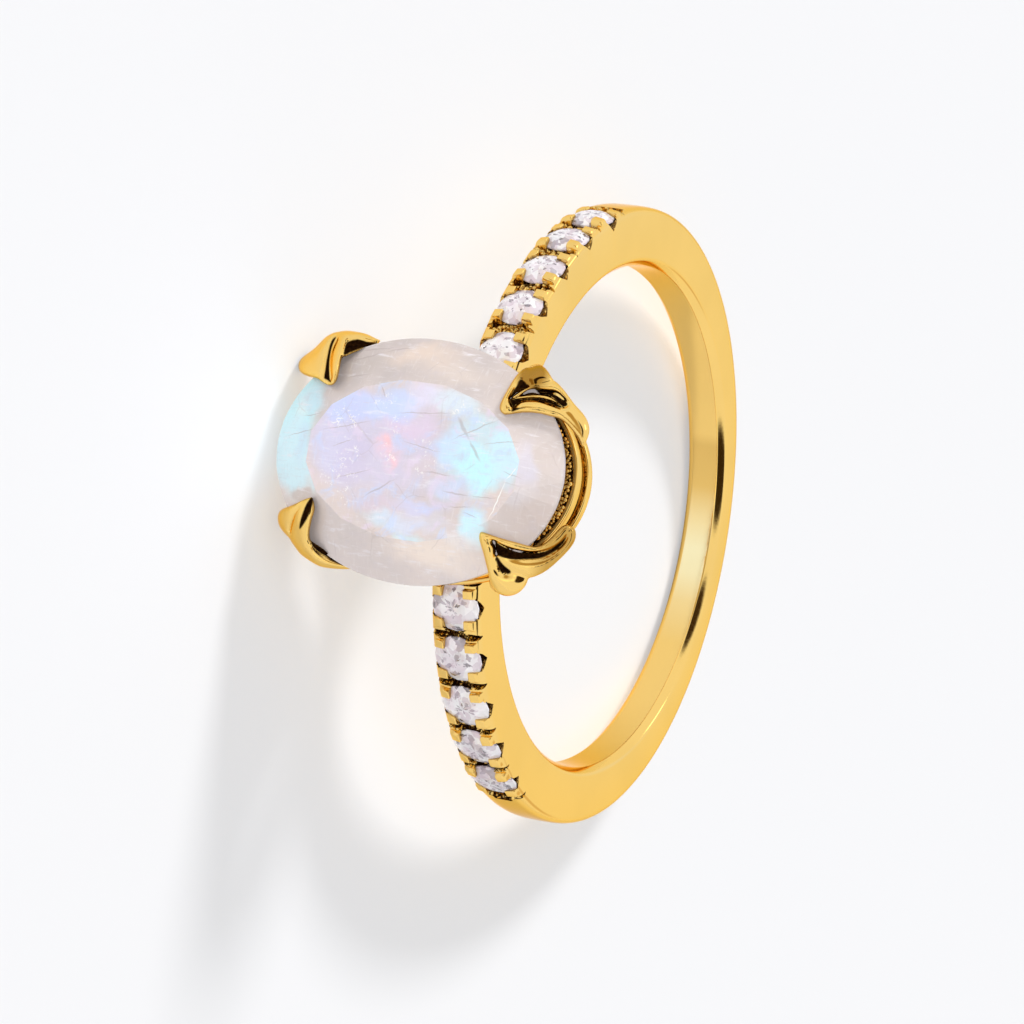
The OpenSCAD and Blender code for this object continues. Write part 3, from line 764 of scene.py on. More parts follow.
# Rough seat between the upper rail and the stone: grains left by the casting.
rng = np.random.default_rng(5)
cs, rs = [], []
for row, (off, s) in enumerate(((-0.2, 12.8), (-0.29, 12.76), (-0.38, 12.7), (-0.48, 12.62))):
    n = 170
    for i in range(n):
        a = 2 * math.pi * (i + rng.uniform(-0.35, 0.35)) / n
        e = rng.uniform(-0.04, 0.04, 2)
        cs.append(((3.62 + off + e[0]) * math.cos(a), (5.12 + off + e[0]) * math.sin(a), s + e[1]))
        rs.append(rng.uniform(0.045, 0.09))
for i in range(26):
    a = 2 * math.pi * (i + rng.uniform(-0.4, 0.4)) / 26
    cs.append(((3.62 - 0.19) * math.cos(a), (5.12 - 0.19) * math.sin(a), rng.uniform(12.02, 12.36)))
    rs.append(rng.uniform(0.025, 0.05))
v, f = bead_mesh(cs, rs)
grains = mesh_obj("seat_grains", head(v), f, (gold_grain,))
smooth(grains, 80)
piece(grains, "ring_mount")
v, f = oval_sweep(rounded(-0.66, -0.1, 12.3, 12.64, 0.04))
seat = mesh_obj("stone_seat", head(v), f, (gold_cut,))
smooth(seat, 40)
piece(seat, "ring_mount")

# ------------------------------------------------------------------ shoulder stones
rt, rg, zt, zg = 0.45, 0.82, 0.22, 0.025


def brilliant():
    V, F = [], []
    T = [(rt * math.cos(math.radians(45 * k)), rt * math.sin(math.radians(45 * k)), zt) for k in range(8)]
    rs_ = 0.635
    zs = zt - (rs_ * math.cos(math.radians(22.5)) - rt) / (rg - rt) * (zt - zg)
    S = [(rs_ * math.cos(math.radians(45 * k + 22.5)), rs_ * math.sin(math.radians(45 * k + 22.5)), zs) for k in range(8)]
    G = [(rg * math.cos(math.radians(22.5 * k)), rg * math.sin(math.radians(22.5 * k)), zg) for k in range(16)]
    H = [(x, y, -zg) for x, y, _ in G]
    rl = 0.2
    zl = -zg - (rg - rl * math.cos(math.radians(22.5))) / rg * 0.6
    L = [(rl * math.cos(math.radians(45 * k + 22.5)), rl * math.sin(math.radians(45 * k + 22.5)), zl) for k in range(8)]
    V = T + S + G + H + L + [(0, 0, -zg - 0.6)]
    t, s, g, h, l, c = 0, 8, 16, 32, 48, 56
    F.append([t + k for k in range(8)])
    for k in range(8):
        k1, g0, g1, g2 = (k + 1) % 8, 2 * k, 2 * k + 1, (2 * k + 2) % 16
        F.append([t + k, s + k, t + k1])
        F.append([t + k, s + (k - 1) % 8, g + g0, s + k])
        F.append([s + k, g + g0, g + g1])
        F.append([s + k, g + g1, g + g2])
        F.append([g + g0, h + g0, h + g1, g + g1])
        F.append([g + g1, h + g1, h + g2, g + g2])
        F.append([l + k, h + g1, h + g0])
        F.append([l + k, h + g2, h + g1])
        F.append([c, l + k, h + g0, l + (k - 1) % 8])
    return np.array(V), F


m = Nodes("white_stone")
g1 = m.add("ShaderNodeBsdfPrincipled")
g1.inputs["Base Color"].default_value = (0.985, 0.97, 1.0, 1)
g1.inputs["Transmission Weight"].default_value = 1.0
g1.inputs["IOR"].default_value = 2.1
co = m.vmath("SCALE", m.add("ShaderNodeTexCoord").outputs["Object"], scale=1000.0)
speck = m.noise(co, 6.0, 2.0)
m.link(m.ramp(speck.outputs["Fac"], 0.35, 0.8, 0.0, 0.035), g1.inputs["Roughness"])
# the light that comes back out of the facets below, one tone per facet seen
facet = m.add("ShaderNodeAttribute", attribute_name="facet").outputs["Fac"]
g2 = m.add("ShaderNodeBsdfPrincipled")
white = m.mix(m.ramp(facet, 0.1, 0.3), (0.89, 0.855, 0.895), (1.0, 0.985, 0.995))
local = m.add("ShaderNodeAttribute", attribute_name="across").outputs["Vector"]
parts = m.add("ShaderNodeSeparateXYZ")
m.link(local, parts.inputs[0])
wedge = m.add("ShaderNodeCombineXYZ")
m.link(m.math("MULTIPLY", m.math("ARCTAN2", parts.outputs[1], parts.outputs[0]), 2.55), wedge.inputs[0])
m.link(m.math("MULTIPLY", m.vmath("LENGTH", m.vmath("MULTIPLY", local, (1, 1, 0))), 5.0), wedge.inputs[1])
m.link(parts.outputs[2], wedge.inputs[2])
for scale, low, high, tone in ((0.7, 0.36, 0.33, (0.77, 0.67, 0.73)), (0.95, 0.17, 0.15, (0.42, 0.36, 0.41)), (1.6, 0.06, 0.055, (0.08, 0.06, 0.08))):
    cells = m.add("ShaderNodeTexVoronoi", feature="F1", distance="MANHATTAN")
    m.link(wedge.outputs[0], cells.inputs["Vector"])
    cells.inputs["Scale"].default_value = scale
    pick = m.add("ShaderNodeSeparateColor")
    m.link(cells.outputs["Color"], pick.inputs[0])
    white = m.mix(m.ramp(pick.outputs[0], low, high, 0.0, 0.9), white, tone)
pink = m.ramp(m.noise(co, 2.2, 1.0).outputs["Fac"], 0.45, 0.7, 0.0, 0.6)
m.link(m.mix(pink, white, (0.93, 0.80, 0.86), "MULTIPLY"), g2.inputs["Base Color"])
g2.inputs["Roughness"].default_value = 0.06
g2.inputs["IOR"].default_value = 2.1
both = m.add("ShaderNodeMixShader")
both.inputs[0].default_value = 0.72
m.link(g1.outputs[0], both.inputs[1])
m.link(g2.outputs[0], both.inputs[2])
m.link(both.outputs[0], m.out.inputs["Surface"])
white_stone = m.mat

BV, BF = brilliant()
rng = np.random.default_rng(21)
for k in range(10):
    side = -1 if k < 5 else 1
    t = ACC_FIRST + ACC_STEP * (k % 5)
    a = rng.uniform(0, 0.785)
    R = np.array([[math.cos(a), -math.sin(a), 0], [math.sin(a), math.cos(a), 0], [0, 0, 1]])
    o = mesh_obj("accent_cut_%d" % (k + 1), on_band(BV @ R.T * ((0.94, 0.96, 1) if side < 0 else (1, 1.04, 1)) + (0, 0, -ACC_SINK), side * t), BF, (white_stone,))
    at = o.data.attributes.new("facet", "FLOAT", "FACE")
    at.data.foreach_set("value", rng.uniform(0, 1, len(o.data.polygons)).astype(np.float32))
    at = o.data.attributes.new("across", "FLOAT_VECTOR", "POINT")
    at.data.foreach_set("vector", np.c_[BV[:, :2], np.full(len(BV), 7.0 * k)].ravel().astype(np.float32))
    piece(o, "accent_stone_%d" % (k + 1))

# ------------------------------------------------------------------ moonstone


def cut_gem():
    """An oval block with the crown and pavilion facets cut off it one by one."""
    bm = bmesh.new()
    th = np.arange(144) * 2 * math.pi / 144
    top = [bm.verts.new((SD * math.cos(t), SA * math.sin(t), GS + CH)) for t in th]
    low = [bm.verts.new((SD * math.cos(t), SA * math.sin(t), GS - PH)) for t in th]
    bm.faces.new(top)
    bm.faces.new(low[::-1])
    for i in range(144):
        j = (i + 1) % 144
        bm.faces.new((low[i], low[j], top[j], top[i]))

    def at(deg, ka, kd, z):
        t = math.radians(deg)
        off = (0.06, 0.2) if z == CH else (0, 0)
        return Vector((kd * SD * math.cos(t) + off[0], ka * SA * math.sin(t) + off[1], GS + z))

    planes = []
    for k in range(16):
        t = 22.5 * (k + 0.5)
        planes.append((at(t, TA, TD, CH), at(t + 22.5, TA, TD, CH), at(t + 11.25, 1, 1, 0.07)))
        for e in (-11.25, 11.25):
            planes.append((at(t, TA, TD, CH), at(t, 1, 1, 0.07), at(t + e, 1, 1, 0.07)))
        planes.append((at(t, 0.62, 0.62, -PH * 0.56), at(t + 22.5, 0.62, 0.62, -PH * 0.56), Vector((0, 0, GS - PH))))
    for k in range(32):
        t = 11.25 * k
        planes.append((at(t, 1, 1, -0.07), at(t + 11.25, 1, 1, -0.07), at(t + 5.6, 0.63, 0.63, -PH * 0.56)))
    for a, b, c in planes:
        n = (b - a).cross(c - a).normalized()
        if n.dot((a + b + c) / 3 - Vector((0, 0, GS - 0.2))) < 0:
            n = -n
        cut = bmesh.ops.bisect_plane(bm, geom=bm.verts[:] + bm.edges[:] + bm.faces[:], dist=1e-5, plane_co=a, plane_no=n, clear_outer=True)
        edges = [e for e in cut["geom_cut"] if isinstance(e, bmesh.types.BMEdge)]
        if len(edges) > 2:
            bmesh.ops.edgeloop_fill(bm, edges=edges)
    bmesh.ops.remove_doubles(bm, verts=bm.verts[:], dist=0.002)
    bmesh.ops.recalc_face_normals(bm, faces=bm.faces[:])
    # small flat triangles over the crown and the table, to carry the colours
    bmesh.ops.triangulate(bm, faces=bm.faces[:])
    for _ in range(12):
        wide = [e for e in bm.edges if e.calc_length() > 0.085 and min(v.co.z for v in e.verts) > GS - 0.01]
        if not wide:
            break
        bmesh.ops.subdivide_edges(bm, edges=wide, cuts=1)
        bmesh.ops.triangulate(bm, faces=[f for f in bm.faces if len(f.verts) > 3])
    bm.normal_update()
    bm.verts.index_update()
    V = np.array([tuple(v.co) for v in bm.verts]) + (0, SHIFT, 0)
    F = np.array([[v.index for v in f.verts] for f in bm.faces])
    bm.free()
    return V, F


def srgb(r, g, b):
    return tuple((c / 255 / 12.92) if c < 11 else ((c / 255 + 0.055) / 1.055) ** 2.4 for c in (r, g, b))


# The stone's colour patches: partly its own body colour, partly its painted sheen and glow. Columns: place along and
# across, two half sizes, turn, softness, strength, colour,
# and where it shows: A all over, T under the table, C under the crown.
SHEEN = [
    (-0.34, -3.38, 1.71, 0.54, -2, 0.90, 0.85, (252, 231, 215), "C"),
    (0.97, -2.92, 1.49, 0.47, 2, 0.90, 0.60, (246, 230, 218), "C"),
    (-2.52, -2.87, 1.06, 0.46, -16, 0.80, 0.60, (217, 204, 196), "C"),
    (-4.55, -1.13, 1.28, 1.10, -86, 0.35, 1.00, (208, 248, 255), "C"),
    (-4.35, -1.15, 0.62, 0.42, -70, 0.80, 0.80, (238, 255, 255), "C"),
    (-4.5, 0.62, 0.55, 0.30, 75, 0.80, 0.70, (238, 255, 255), "C"),
    (-4.41, 0.41, 1.29, 0.94, 81, 0.35, 0.95, (217, 246, 255), "C"),
    (-3.29, 0.88, 0.64, 0.43, 75, 0.60, 0.80, (222, 240, 246), "C"),
    (-3.97, -1.43, 0.73, 0.51, -2, 0.60, 0.70, (215, 242, 255), "C"),
    (-3.98, -0.09, 0.76, 0.36, -78, 0.70, 0.60, (210, 235, 252), "C"),
    (-1.23, -0.42, 2.72, 1.83, 2, 0.40, 0.80, (219, 214, 234), "T"),
    (-2.27, -1.48, 1.20, 0.61, -12, 0.50, 0.95, (211, 218, 251), "T"),
    (-0.87, -1.68, 1.07, 0.63, -1, 0.60, 0.95, (214, 224, 254), "T"),
    (0.25, -2.01, 0.99, 0.50, -1, 0.70, 0.80, (236, 233, 251), "T"),
    (-2.72, -0.07, 0.95, 0.88, 22, 0.60, 0.60, (220, 218, 240), "T"),
    (-1.95, 0.16, 0.95, 0.72, 88, 0.70, 0.60, (215, 206, 228), "T"),
    (-0.09, -1.04, 1.20, 0.41, -2, 0.80, 0.70, (234, 215, 233), "T"),
    (-0.71, -0.16, 0.68, 0.57, 3, 0.80, 0.60, (250, 216, 226), "T"),
    (-0.82, -0.37, 0.36, 0.28, 5, 0.95, 0.60, (255, 204, 203), "T"),
    (-0.44, 0.09, 0.28, 0.22, -1, 0.80, 0.50, (254, 208, 212), "T"),
    (0.66, 0.05, 0.77, 0.57, -3, 0.80, 0.60, (224, 211, 212), "T"),
    (1.39, -1.86, 0.92, 0.56, 14, 0.70, 0.80, (231, 243, 251), "T"),
    (2.45, -1.14, 1.04, 0.82, -1, 0.80, 0.75, (216, 241, 250), "T"),
    (1.64, -0.40, 0.78, 0.61, 59, 0.50, 0.90, (215, 235, 255), "T"),
    (2.37, 0.08, 0.88, 0.75, 8, 0.45, 1.00, (210, 247, 255), "T"),
    (3.38, -0.53, 0.87, 0.76, 85, 0.45, 0.90, (217, 244, 255), "T"),
    (1.54, 0.73, 0.77, 0.38, 2, 0.70, 0.80, (214, 226, 248), "T"),
    (-0.03, 1.09, 1.53, 0.26, -18, 0.90, 0.50, (212, 203, 212), "T"),
    (0.74, 1.37, 1.19, 0.28, -7, 0.70, 0.75, (219, 219, 244), "T"),
    (-0.93, 1.63, 1.21, 0.38, -3, 0.80, 0.50, (221, 209, 228), "T"),
    (-0.2, 2.05, 1.15, 0.32, -4, 0.70, 0.75, (214, 236, 250), "T"),
    (0.55, 2.45, 0.7, 0.26, 0, 0.70, 0.7, (216, 242, 250), "T"),
    (0.56, 1.91, 1.40, 0.38, -7, 0.70, 0.80, (226, 227, 240), "A"),
    (2.59, 1.00, 0.90, 0.19, -4, 0.70, 0.60, (219, 212, 216), "T"),
    (2.58, 1.70, 0.62, 0.52, -90, 0.50, 0.95, (215, 244, 255), "A"),
    (2.10, 2.19, 0.70, 0.31, -7, 0.80, 0.70, (241, 238, 240), "A"),
    (1.23, 2.77, 1.61, 0.69, -7, 0.80, 0.80, (248, 232, 219), "C"),
    (2.33, 3.02, 1.05, 0.38, -7, 0.90, 0.50, (236, 222, 214), "C"),
    (3.99, -0.38, 0.76, 0.31, 69, 0.70, 0.70, (228, 224, 240), "C"),
    (3.90, 0.55, 0.55, 0.37, -4, 0.80, 0.60, (234, 229, 234), "C"),
    (4.14, -1.49, 1.24, 0.90, -78, 0.90, 0.40, (228, 216, 212), "C"),
    (4.59, 1.27, 1.04, 0.93, 7, 0.90, 0.40, (226, 206, 196), "C"),
    (-3.78, 1.54, 0.65, 0.29, -7, 0.40, 0.90, (213, 200, 194), "C"),
]
# Fine cracks: from along, across to along, across, half width in hundredths of a millimetre.
CRACKS = [
    (-4.80, -0.20, -3.46, -0.49, 2.0), (-3.31, -0.48, -1.46, -1.03, 1.8), (-2.78, -0.03, -2.05, -0.38, 1.6),
    (-0.77, -1.37, 1.40, -1.61, 1.8), (1.32, -0.74, 2.98, -1.65, 2.2), (2.46, -0.73, 3.80, -1.05, 1.8),
    (1.45, -1.55, 2.02, -0.83, 6.0), (2.02, -0.83, 2.53, -0.20, 5.0), (1.35, 0.85, 2.36, 0.90, 2.5),
    (2.36, 0.90, 3.36, 0.83, 2.0), (-1.40, 1.43, -0.29, 0.68, 2.6), (-1.40, -2.16, -1.17, -1.77, 2.0),
    (-2.99, -2.82, -1.77, -3.29, 2.6), (-1.79, -3.29, -0.79, -3.57, 2.2), (-3.06, -3.19, -1.37, -3.49, 2.0),
    (-2.87, -2.32, -1.93, -2.53, 2.0), (2.25, 1.43, 2.77, 1.55, 2.0), (-0.35, -0.53, 1.12, -0.33, 1.6),
    (-2.58, 0.98, -1.16, 0.47, 1.6), (0.54, 0.32, 1.68, 0.36, 1.8), (-4.16, -0.88, -3.39, -1.07, 1.6),
    (3.30, -0.04, 4.03, 0.12, 1.8), (1.73, 1.31, 2.49, 1.24, 2.0),
]
BRIGHT_CRACKS = [(3.82, -0.24, 3.53, 0.24, 1.8), (3.53, 0.24, 3.13, 1.59, 2.2)]
# Clusters of tiny bright specks: along, across, radius.
SPECKS = [
    (-2.15, 0.41, 0.64), (-1.97, 1.29, 0.45), (-2.46, -1.16, 0.51), (0.88, 0.27, 0.45), (0.63, -0.65, 0.38),
    (-2.09, -0.56, 0.38), (-2.63, 0.73, 0.45), (-0.70, -0.10, 0.38), (-1.18, -1.96, 0.38), (-0.47, -1.15, 0.38),
    (1.57, -1.66, 0.32), (2.31, -1.50, 0.32), (-1.92, 0.64, 0.32),
]


def stone_colours(V, F):
    """One colour a corner, from patches with wavering edges, and how thickly the specks lie."""
    a, d = V[:, 1], V[:, 0]
    roll = np.array([noise.turbulence_vector(Vector((x * 0.55, y * 0.55, 3.0)), 4, False, noise_basis="PERLIN_ORIGINAL") for x, y in zip(a, d)])
    fine = np.array([noise.turbulence_vector(Vector((x * 2.1, y * 2.1, 8.0)), 3, False, noise_basis="PERLIN_ORIGINAL") for x, y in zip(a, d)])
    wa, wd = a + 0.3 * roll[:, 0] + 0.16 * fine[:, 0], d + 0.3 * roll[:, 1] + 0.16 * fine[:, 1]

    def oval(x, y, rx, ry, deg, soft):
        c, s = math.cos(math.radians(deg)), math.sin(math.radians(deg))
        u, v = wa - x, wd - y
        r = np.hypot((u * c + v * s) / rx, (v * c - u * s) / ry)
        t = np.clip((1.25 - r) / (0.25 + soft), 0, 1)
        return t * t * (3 - 2 * t)

    cloud = np.clip(0.5 + 0.8 * roll[:, 2], 0, 1)[:, None]
    base = np.array(srgb(216, 205, 202)) * (1 - cloud) + np.array(srgb(228, 214, 208)) * cloud
    out = {}
    for part in "TC":
        col = base.copy()
        for x, y, rx, ry, deg, soft, weight, rgb, where in SHEEN:
            if where in (part, "A"):
                f = (oval(x, y, rx, ry, deg, soft) * weight)[:, None]
                col = col * (1 - f) + np.array(srgb(*rgb)) * f
        grey = col.mean(1, keepdims=True)
        out[part] = np.clip(grey + (col - grey) * (1.18 if part == "T" else 1.0), 0, 1)
    # painted shade: the crown's upper and right facets are darkened
    out["C"] *= (1 - 0.2 * np.clip((-d - 0.8) / 1.8, 0, 1) - 0.12 * np.clip((a - 2.2) / 2.0, 0, 1))[:, None]
    specks = np.zeros(len(V))
    for x, y, r in SPECKS:
        specks = np.maximum(specks, oval(x, y, r, r, 0, 0.7))
    on_table = (V[F][:, :, 2] > GS + CH - 0.001).all(1)
    corner = np.where(on_table[:, None, None], out["T"][F], out["C"][F])
    return corner, specks


def moonstone_material():
    m = Nodes("moonstone")
    co = m.vmath("SCALE", m.vmath("SUBTRACT", m.add("ShaderNodeTexCoord").outputs["Object"], tuple(CENTRE)), scale=1000.0)
    d = m.vmath("DOT_PRODUCT", co, (1, 0, 0))
    a = m.vmath("DOT_PRODUCT", co, (0, SL, CL))
    s = m.vmath("DOT_PRODUCT", co, (0, -CL, SL))
    flat = m.add("ShaderNodeCombineXYZ")
    m.link(a, flat.inputs[0])
    m.link(d, flat.inputs[1])
    flat = flat.outputs[0]
    solid = m.add("ShaderNodeCombineXYZ")
    m.link(a, solid.inputs[0])
    m.link(d, solid.inputs[1])
    m.link(s, solid.inputs[2])
    solid = solid.outputs[0]

    def line(vec, x0, y0, x1, y1, w):
        mp = m.add("ShaderNodeMapping", vector_type="TEXTURE")
        m.link(vec, mp.inputs["Vector"])
        mp.inputs["Location"].default_value = ((x0 + x1) / 2, (y0 + y1) / 2, 0)
        mp.inputs["Rotation"].default_value = (0, 0, math.atan2(y1 - y0, x1 - x0))
        mp.inputs["Scale"].default_value = (math.hypot(x1 - x0, y1 - y0) / 2 + 0.03, w * 0.012, 1)
        return m.ramp(m.vmath("LENGTH", mp.outputs[0]), 1.12, 0.4)

    waver = m.noise(solid, 2.6, 3.0)
    fine_vec = m.vmath("ADD", flat, m.vmath("MULTIPLY", m.vmath("SUBTRACT", waver.outputs["Color"], (0.5, 0.5, 0.5)), (0.14, 0.14, 0)))
    col = m.add("ShaderNodeAttribute", attribute_name="sheen").outputs["Color"]
    # cloudy streaks along the layers of the stone
    streak = m.add("ShaderNodeMapping")
    m.link(solid, streak.inputs["Vector"])
    streak.inputs["Rotation"].default_value = (0, 0, 0.3)
    streak.inputs["Scale"].default_value = (1.0, 4.5, 1.0)
    veil = m.noise(streak.outputs[0], 1.1, 5.0, 0.62, 0.4)
    col = m.mix(m.ramp(veil.outputs["Fac"], 0.56, 0.78, 0.0, 0.4), col, srgb(214, 203, 208))
    col = m.mix(m.ramp(veil.outputs["Fac"], 0.44, 0.26, 0.0, 0.55), col, srgb(244, 241, 247))
    lumps = m.noise(solid, 2.2, 4.0, 0.6)
    # painted sheen: a blue and a lilac glow under the table
    glow = m.noise(solid, 1.1, 4.0, 0.6, 0.6)
    inner = m.math("MULTIPLY", m.ramp(s, GS + CH - 0.012, GS + CH - 0.002), 0.55)
    col = m.mix(m.math("MULTIPLY", m.ramp(glow.outputs["Fac"], 0.52, 0.7), inner), col, srgb(206, 222, 255))
    col = m.mix(m.math("MULTIPLY", m.ramp(glow.outputs["Fac"], 0.46, 0.3), inner), col, srgb(236, 220, 240))
    col = m.mix(m.ramp(lumps.outputs["Fac"], 0.52, 0.74, 0.0, 0.22), col, srgb(206, 198, 206))
    # cross-hatched growth lines
    for scale, ang in (((14, 2.2, 3), 0.12), ((2.0, 13, 3), 0.05)):
        mp = m.add("ShaderNodeMapping")
        m.link(solid, mp.inputs["Vector"])
        mp.inputs["Rotation"].default_value = (0, 0, ang)
        mp.inputs["Scale"].default_value = scale
        h = m.noise(mp.outputs[0], 1.0, 2.0, 0.6)
        col = m.mix(m.ramp(h.outputs["Fac"], 0.55, 0.8, 0.0, 0.14), col, srgb(196, 186, 188))
        col = m.mix(m.ramp(h.outputs["Fac"], 0.44, 0.22, 0.0, 0.18), col, srgb(250, 248, 250))
    # cracks
    dark = None
    for row in CRACKS:
        f = line(fine_vec, *row)
        dark = f if dark is None else m.math("MAXIMUM", dark, f)
    net = m.add("ShaderNodeTexVoronoi", feature="DISTANCE_TO_EDGE")
    m.link(fine_vec, net.inputs["Vector"])
    net.inputs["Scale"].default_value = 0.62
    where = m.noise(solid, 0.8, 2.0)
    net = m.math("MULTIPLY", m.ramp(net.outputs["Distance"], 0.014, 0.003), m.ramp(where.outputs["Fac"], 0.54, 0.66, 0.0, 0.45))
    dark = m.math("MAXIMUM", dark, net)
    col = m.mix(m.math("MULTIPLY", dark, 0.42), col, srgb(172, 154, 150))
    bright = None
    for row in BRIGHT_CRACKS:
        f = line(fine_vec, *row)
        bright = f if bright is None else m.math("MAXIMUM", bright, f)
    # specks, shaped like small crosses
    cross = m.add("ShaderNodeTexVoronoi", feature="F1", distance="MINKOWSKI")
    m.link(flat, cross.inputs["Vector"])
    cross.inputs["Scale"].default_value = 7.5
    cross.inputs["Exponent"].default_value = 0.5
    thick = m.add("ShaderNodeAttribute", attribute_name="specks").outputs["Fac"]
    spark = m.math("MULTIPLY", m.ramp(cross.outputs["Distance"], 0.74, 0.4), m.ramp(thick, 0.02, 0.35))
    bright = m.math("MAXIMUM", bright, m.math("MULTIPLY", spark, 0.5))
    web = m.add("ShaderNodeTexVoronoi", feature="DISTANCE_TO_EDGE")
    m.link(fine_vec, web.inputs["Vector"])
    web.inputs["Scale"].default_value = 9.0
    broken = m.noise(solid, 4.6, 2.0)
    web = m.math("MULTIPLY", m.ramp(web.outputs["Distance"], 0.13, 0.04), m.ramp(broken.outputs["Fac"], 0.55, 0.64))
    web = m.math("MULTIPLY", web, m.ramp(thick, 0.1, 0.4, 0.0, 0.8))
    bright = m.math("MAXIMUM", bright, web)
    col = m.mix(m.math("MULTIPLY", bright, 0.85), col, srgb(255, 253, 250))
    p = m.add("ShaderNodeBsdfPrincipled")
    m.link(col, p.inputs["Base Color"])
    m.link(m.ramp(lumps.outputs["Fac"], 0.3, 0.7, 0.05, 0.11), p.inputs["Roughness"])
    p.inputs["IOR"].default_value = 1.53
    p.inputs["Specular IOR Level"].default_value = 0.4
    p.inputs["Subsurface Weight"].default_value = 0.12
    p.inputs["Subsurface Radius"].default_value = (1.0, 0.85, 0.8)
    p.inputs["Subsurface Scale"].default_value = 0.0006
    bump = m.add("ShaderNodeBump")
    bump.inputs["Strength"].default_value = 0.08
    bump.inputs["Distance"].default_value = 0.00002
    m.link(lumps.outputs["Fac"], bump.inputs["Height"])
    m.link(bump.outputs["Normal"], p.inputs["Normal"])
    m.link(p.outputs[0], m.out.inputs["Surface"])
    return m.mat


MV, MF = cut_gem()
moon = mesh_obj("moonstone_cut", head(MV), MF, (moonstone_material(),))
corner_rgb, speck_mask = stone_colours(MV, MF)
at = moon.data.attributes.new("sheen", "FLOAT_COLOR", "CORNER")
at.data.foreach_set("color", np.concatenate([corner_rgb.reshape(-1, 3), np.ones((len(MF) * 3, 1))], 1).ravel().astype(np.float32))
at = moon.data.attributes.new("specks", "FLOAT", "POINT")
at.data.foreach_set("value", speck_mask.astype(np.float32))
piece(moon, "moonstone")

# ------------------------------------------------------------------ floor, light and camera
floor_mat = Nodes("floor")
fb = floor_mat.add("ShaderNodeBsdfDiffuse")
fb.inputs["Color"].default_value = (0.852, 0.855, 0.872, 1)
floor_mat.link(fb.outputs[0], floor_mat.out.inputs["Surface"])
floor = mesh_obj("floor", [(-0.8, -0.8, 0), (0.8, -0.8, 0), (0.8, 0.8, 0), (-0.8, 0.8, 0)], [[0, 1, 2, 3]], (floor_mat.mat,), world=True)

world = bpy.data.worlds.new("studio")
bpy.context.scene.world = world
world.use_nodes = True
wn, wl = world.node_tree.nodes, world.node_tree.links


def toward(az, el):
    az, el = math.radians(az), math.radians(el)
    return Vector((math.cos(az) * math.cos(el), math.sin(az) * math.cos(el), math.sin(el)))


def patch(az, el, inner, outer):
    """1 within inner degrees of a direction, falling to 0 at outer degrees."""
    n = wn.new("ShaderNodeVectorMath")
    n.operation = "DOT_PRODUCT"
    wl.new(wco.outputs["Generated"], n.inputs[0])
    n.inputs[1].default_value = toward(az, el)
    r = wn.new("ShaderNodeMapRange")
    r.interpolation_type = "SMOOTHSTEP"
    wl.new(n.outputs["Value"], r.inputs["Value"])
    r.inputs["From Min"].default_value = math.cos(math.radians(outer))
    r.inputs["From Max"].default_value = math.cos(math.radians(inner))
    return r.outputs["Result"]


# A white tent. Its few tinted cards are there for the metal to mirror: azimuth, elevation, inner and outer
# half angle in degrees, colour.
CARDS = [
    (112, 10, 8, 25, (0.97, 1.05, 1.4)),
    (66, 19, 6, 14, (0.8, 0.66, 0.5)),
    (-142, 51, 10, 18, (0.05, 0.03, 0.015)),
    (-108, 18, 12, 30, (0.5, 0.36, 0.16)),
    (-45, 56, 15, 23, (0.04, 0.025, 0.01)),
    (-65, 28, 4, 9, (1.5, 1.4, 1.15)),
    (141, 38, 4, 8, (3.2, 3.1, 2.8)),
]
wco = wn.new("ShaderNodeTexCoord")
tone = None
for az, el, inner, outer, colour in CARDS:
    mx = wn.new("ShaderNodeMix")
    mx.data_type = "RGBA"
    wl.new(patch(az, el, inner, outer), mx.inputs[0])
    if tone is None:
        mx.inputs[6].default_value = (1.0, 1.0, 1.0, 1.0)
    else:
        wl.new(tone, mx.inputs[6])
    mx.inputs[7].default_value = (*colour, 1.0)
    tone = mx.outputs[2]
bg = wn["Background"]
bg.inputs["Color"].default_value = (1, 1, 1, 1)
bg.inputs["Strength"].default_value = 0.25
mirror = wn.new("ShaderNodeBackground")
wl.new(tone, mirror.inputs["Color"])
mirror.inputs["Strength"].default_value = 1.0
mx = wn.new("ShaderNodeMixShader")
path = wn.new("ShaderNodeLightPath")
seen = wn.new("ShaderNodeMath")
seen.operation = "SUBTRACT"
seen.use_clamp = True
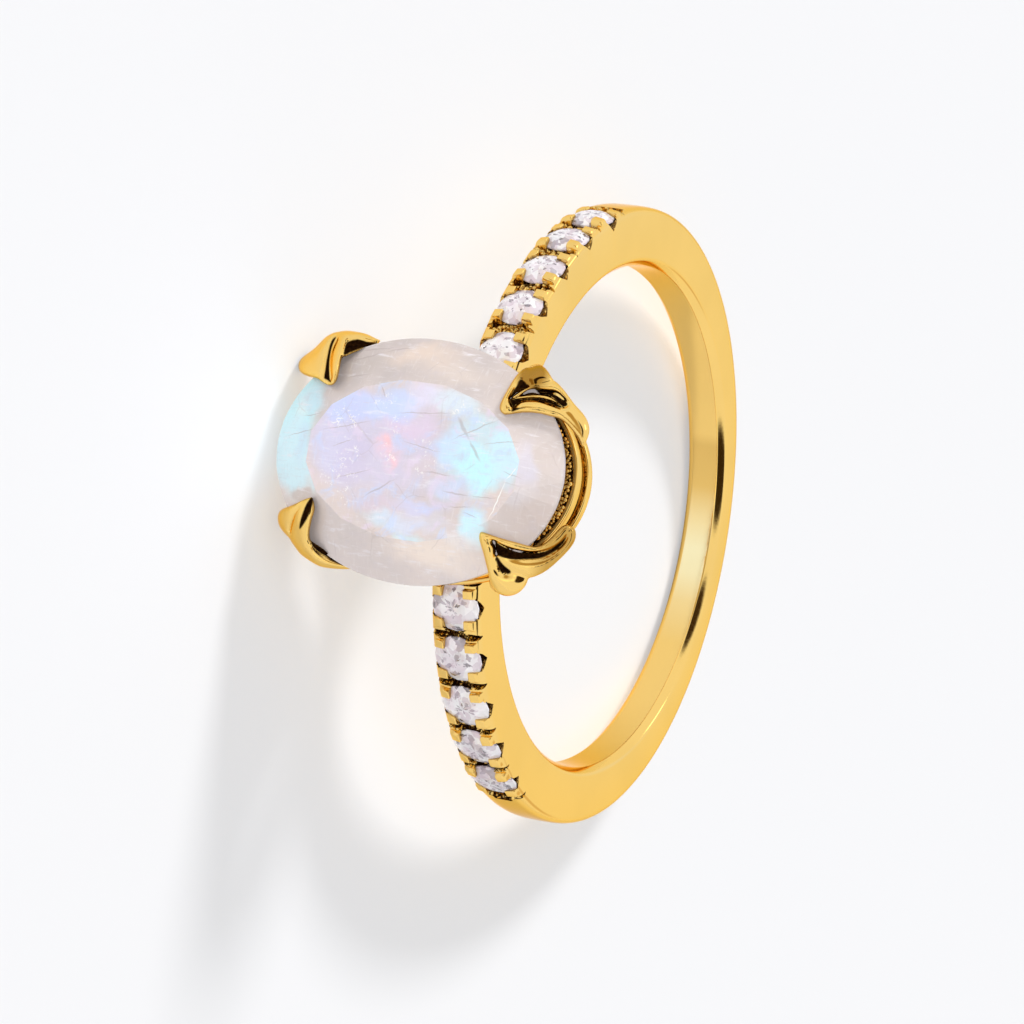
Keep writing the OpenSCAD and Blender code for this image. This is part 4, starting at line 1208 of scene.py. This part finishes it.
wl.new(path.outputs["Is Glossy Ray"], seen.inputs[0])
wl.new(path.outputs["Diffuse Depth"], seen.inputs[1])
wl.new(seen.outputs[0], mx.inputs[0])
wl.new(bg.outputs[0], mx.inputs[1])
wl.new(mirror.outputs[0], mx.inputs[2])
far = wn.new("ShaderNodeBackground")
far.inputs["Color"].default_value = (1, 1, 1, 1)
far.inputs["Strength"].default_value = 0.96
last = wn.new("ShaderNodeMixShader")
wl.new(path.outputs["Is Camera Ray"], last.inputs[0])
wl.new(mx.outputs[0], last.inputs[1])
wl.new(far.outputs[0], last.inputs[2])
wl.new(last.outputs[0], wn["World Output"].inputs["Surface"])


def sun(name, direction, energy, angle):
    lamp = bpy.data.lights.new(name, "SUN")
    lamp.energy = energy
    lamp.angle = math.radians(angle)
    o = bpy.data.objects.new(name, lamp)
    COL.objects.link(o)
    o.rotation_mode = "QUATERNION"
    o.rotation_quaternion = Vector(direction).to_track_quat("Z", "Y")
    return o


key = sun("key", (-0.85, 0.04, 0.525), 1.4, 11)
key.visible_glossy = False
fill = sun("fill", (0, -0.52, 0.854), 2.3, 60)
fill.data.use_shadow = False
fill.visible_glossy = False

CAM = np.array([8.569, -138.798, 65.663])
RIGHT, DOWN, FWD = np.array([-0.172737, 0.429714, 0.886289]), np.array([0.983538, 0.123714, 0.131709]), np.array([-0.053049, 0.894450, -0.444010])
cam = bpy.data.cameras.new("camera")
cam.lens = 157.61
cam.sensor_width = 36.0
cam.clip_start, cam.clip_end = 0.01, 5.0
cam_o = bpy.data.objects.new("camera", cam)
COL.objects.link(cam_o)
r_, d_, f_ = turn(RIGHT)[0], turn(DOWN)[0], turn(FWD)[0]
mw = Matrix(((r_[0], -d_[0], -f_[0], 0), (r_[1], -d_[1], -f_[1], 0), (r_[2], -d_[2], -f_[2], 0), (0, 0, 0, 1)))
cam_o.matrix_world = Matrix.Translation(Vector(place(CAM)[0])) @ mw
bpy.context.scene.camera = cam_o
bpy.context.scene.view_settings.view_transform = "Standard"
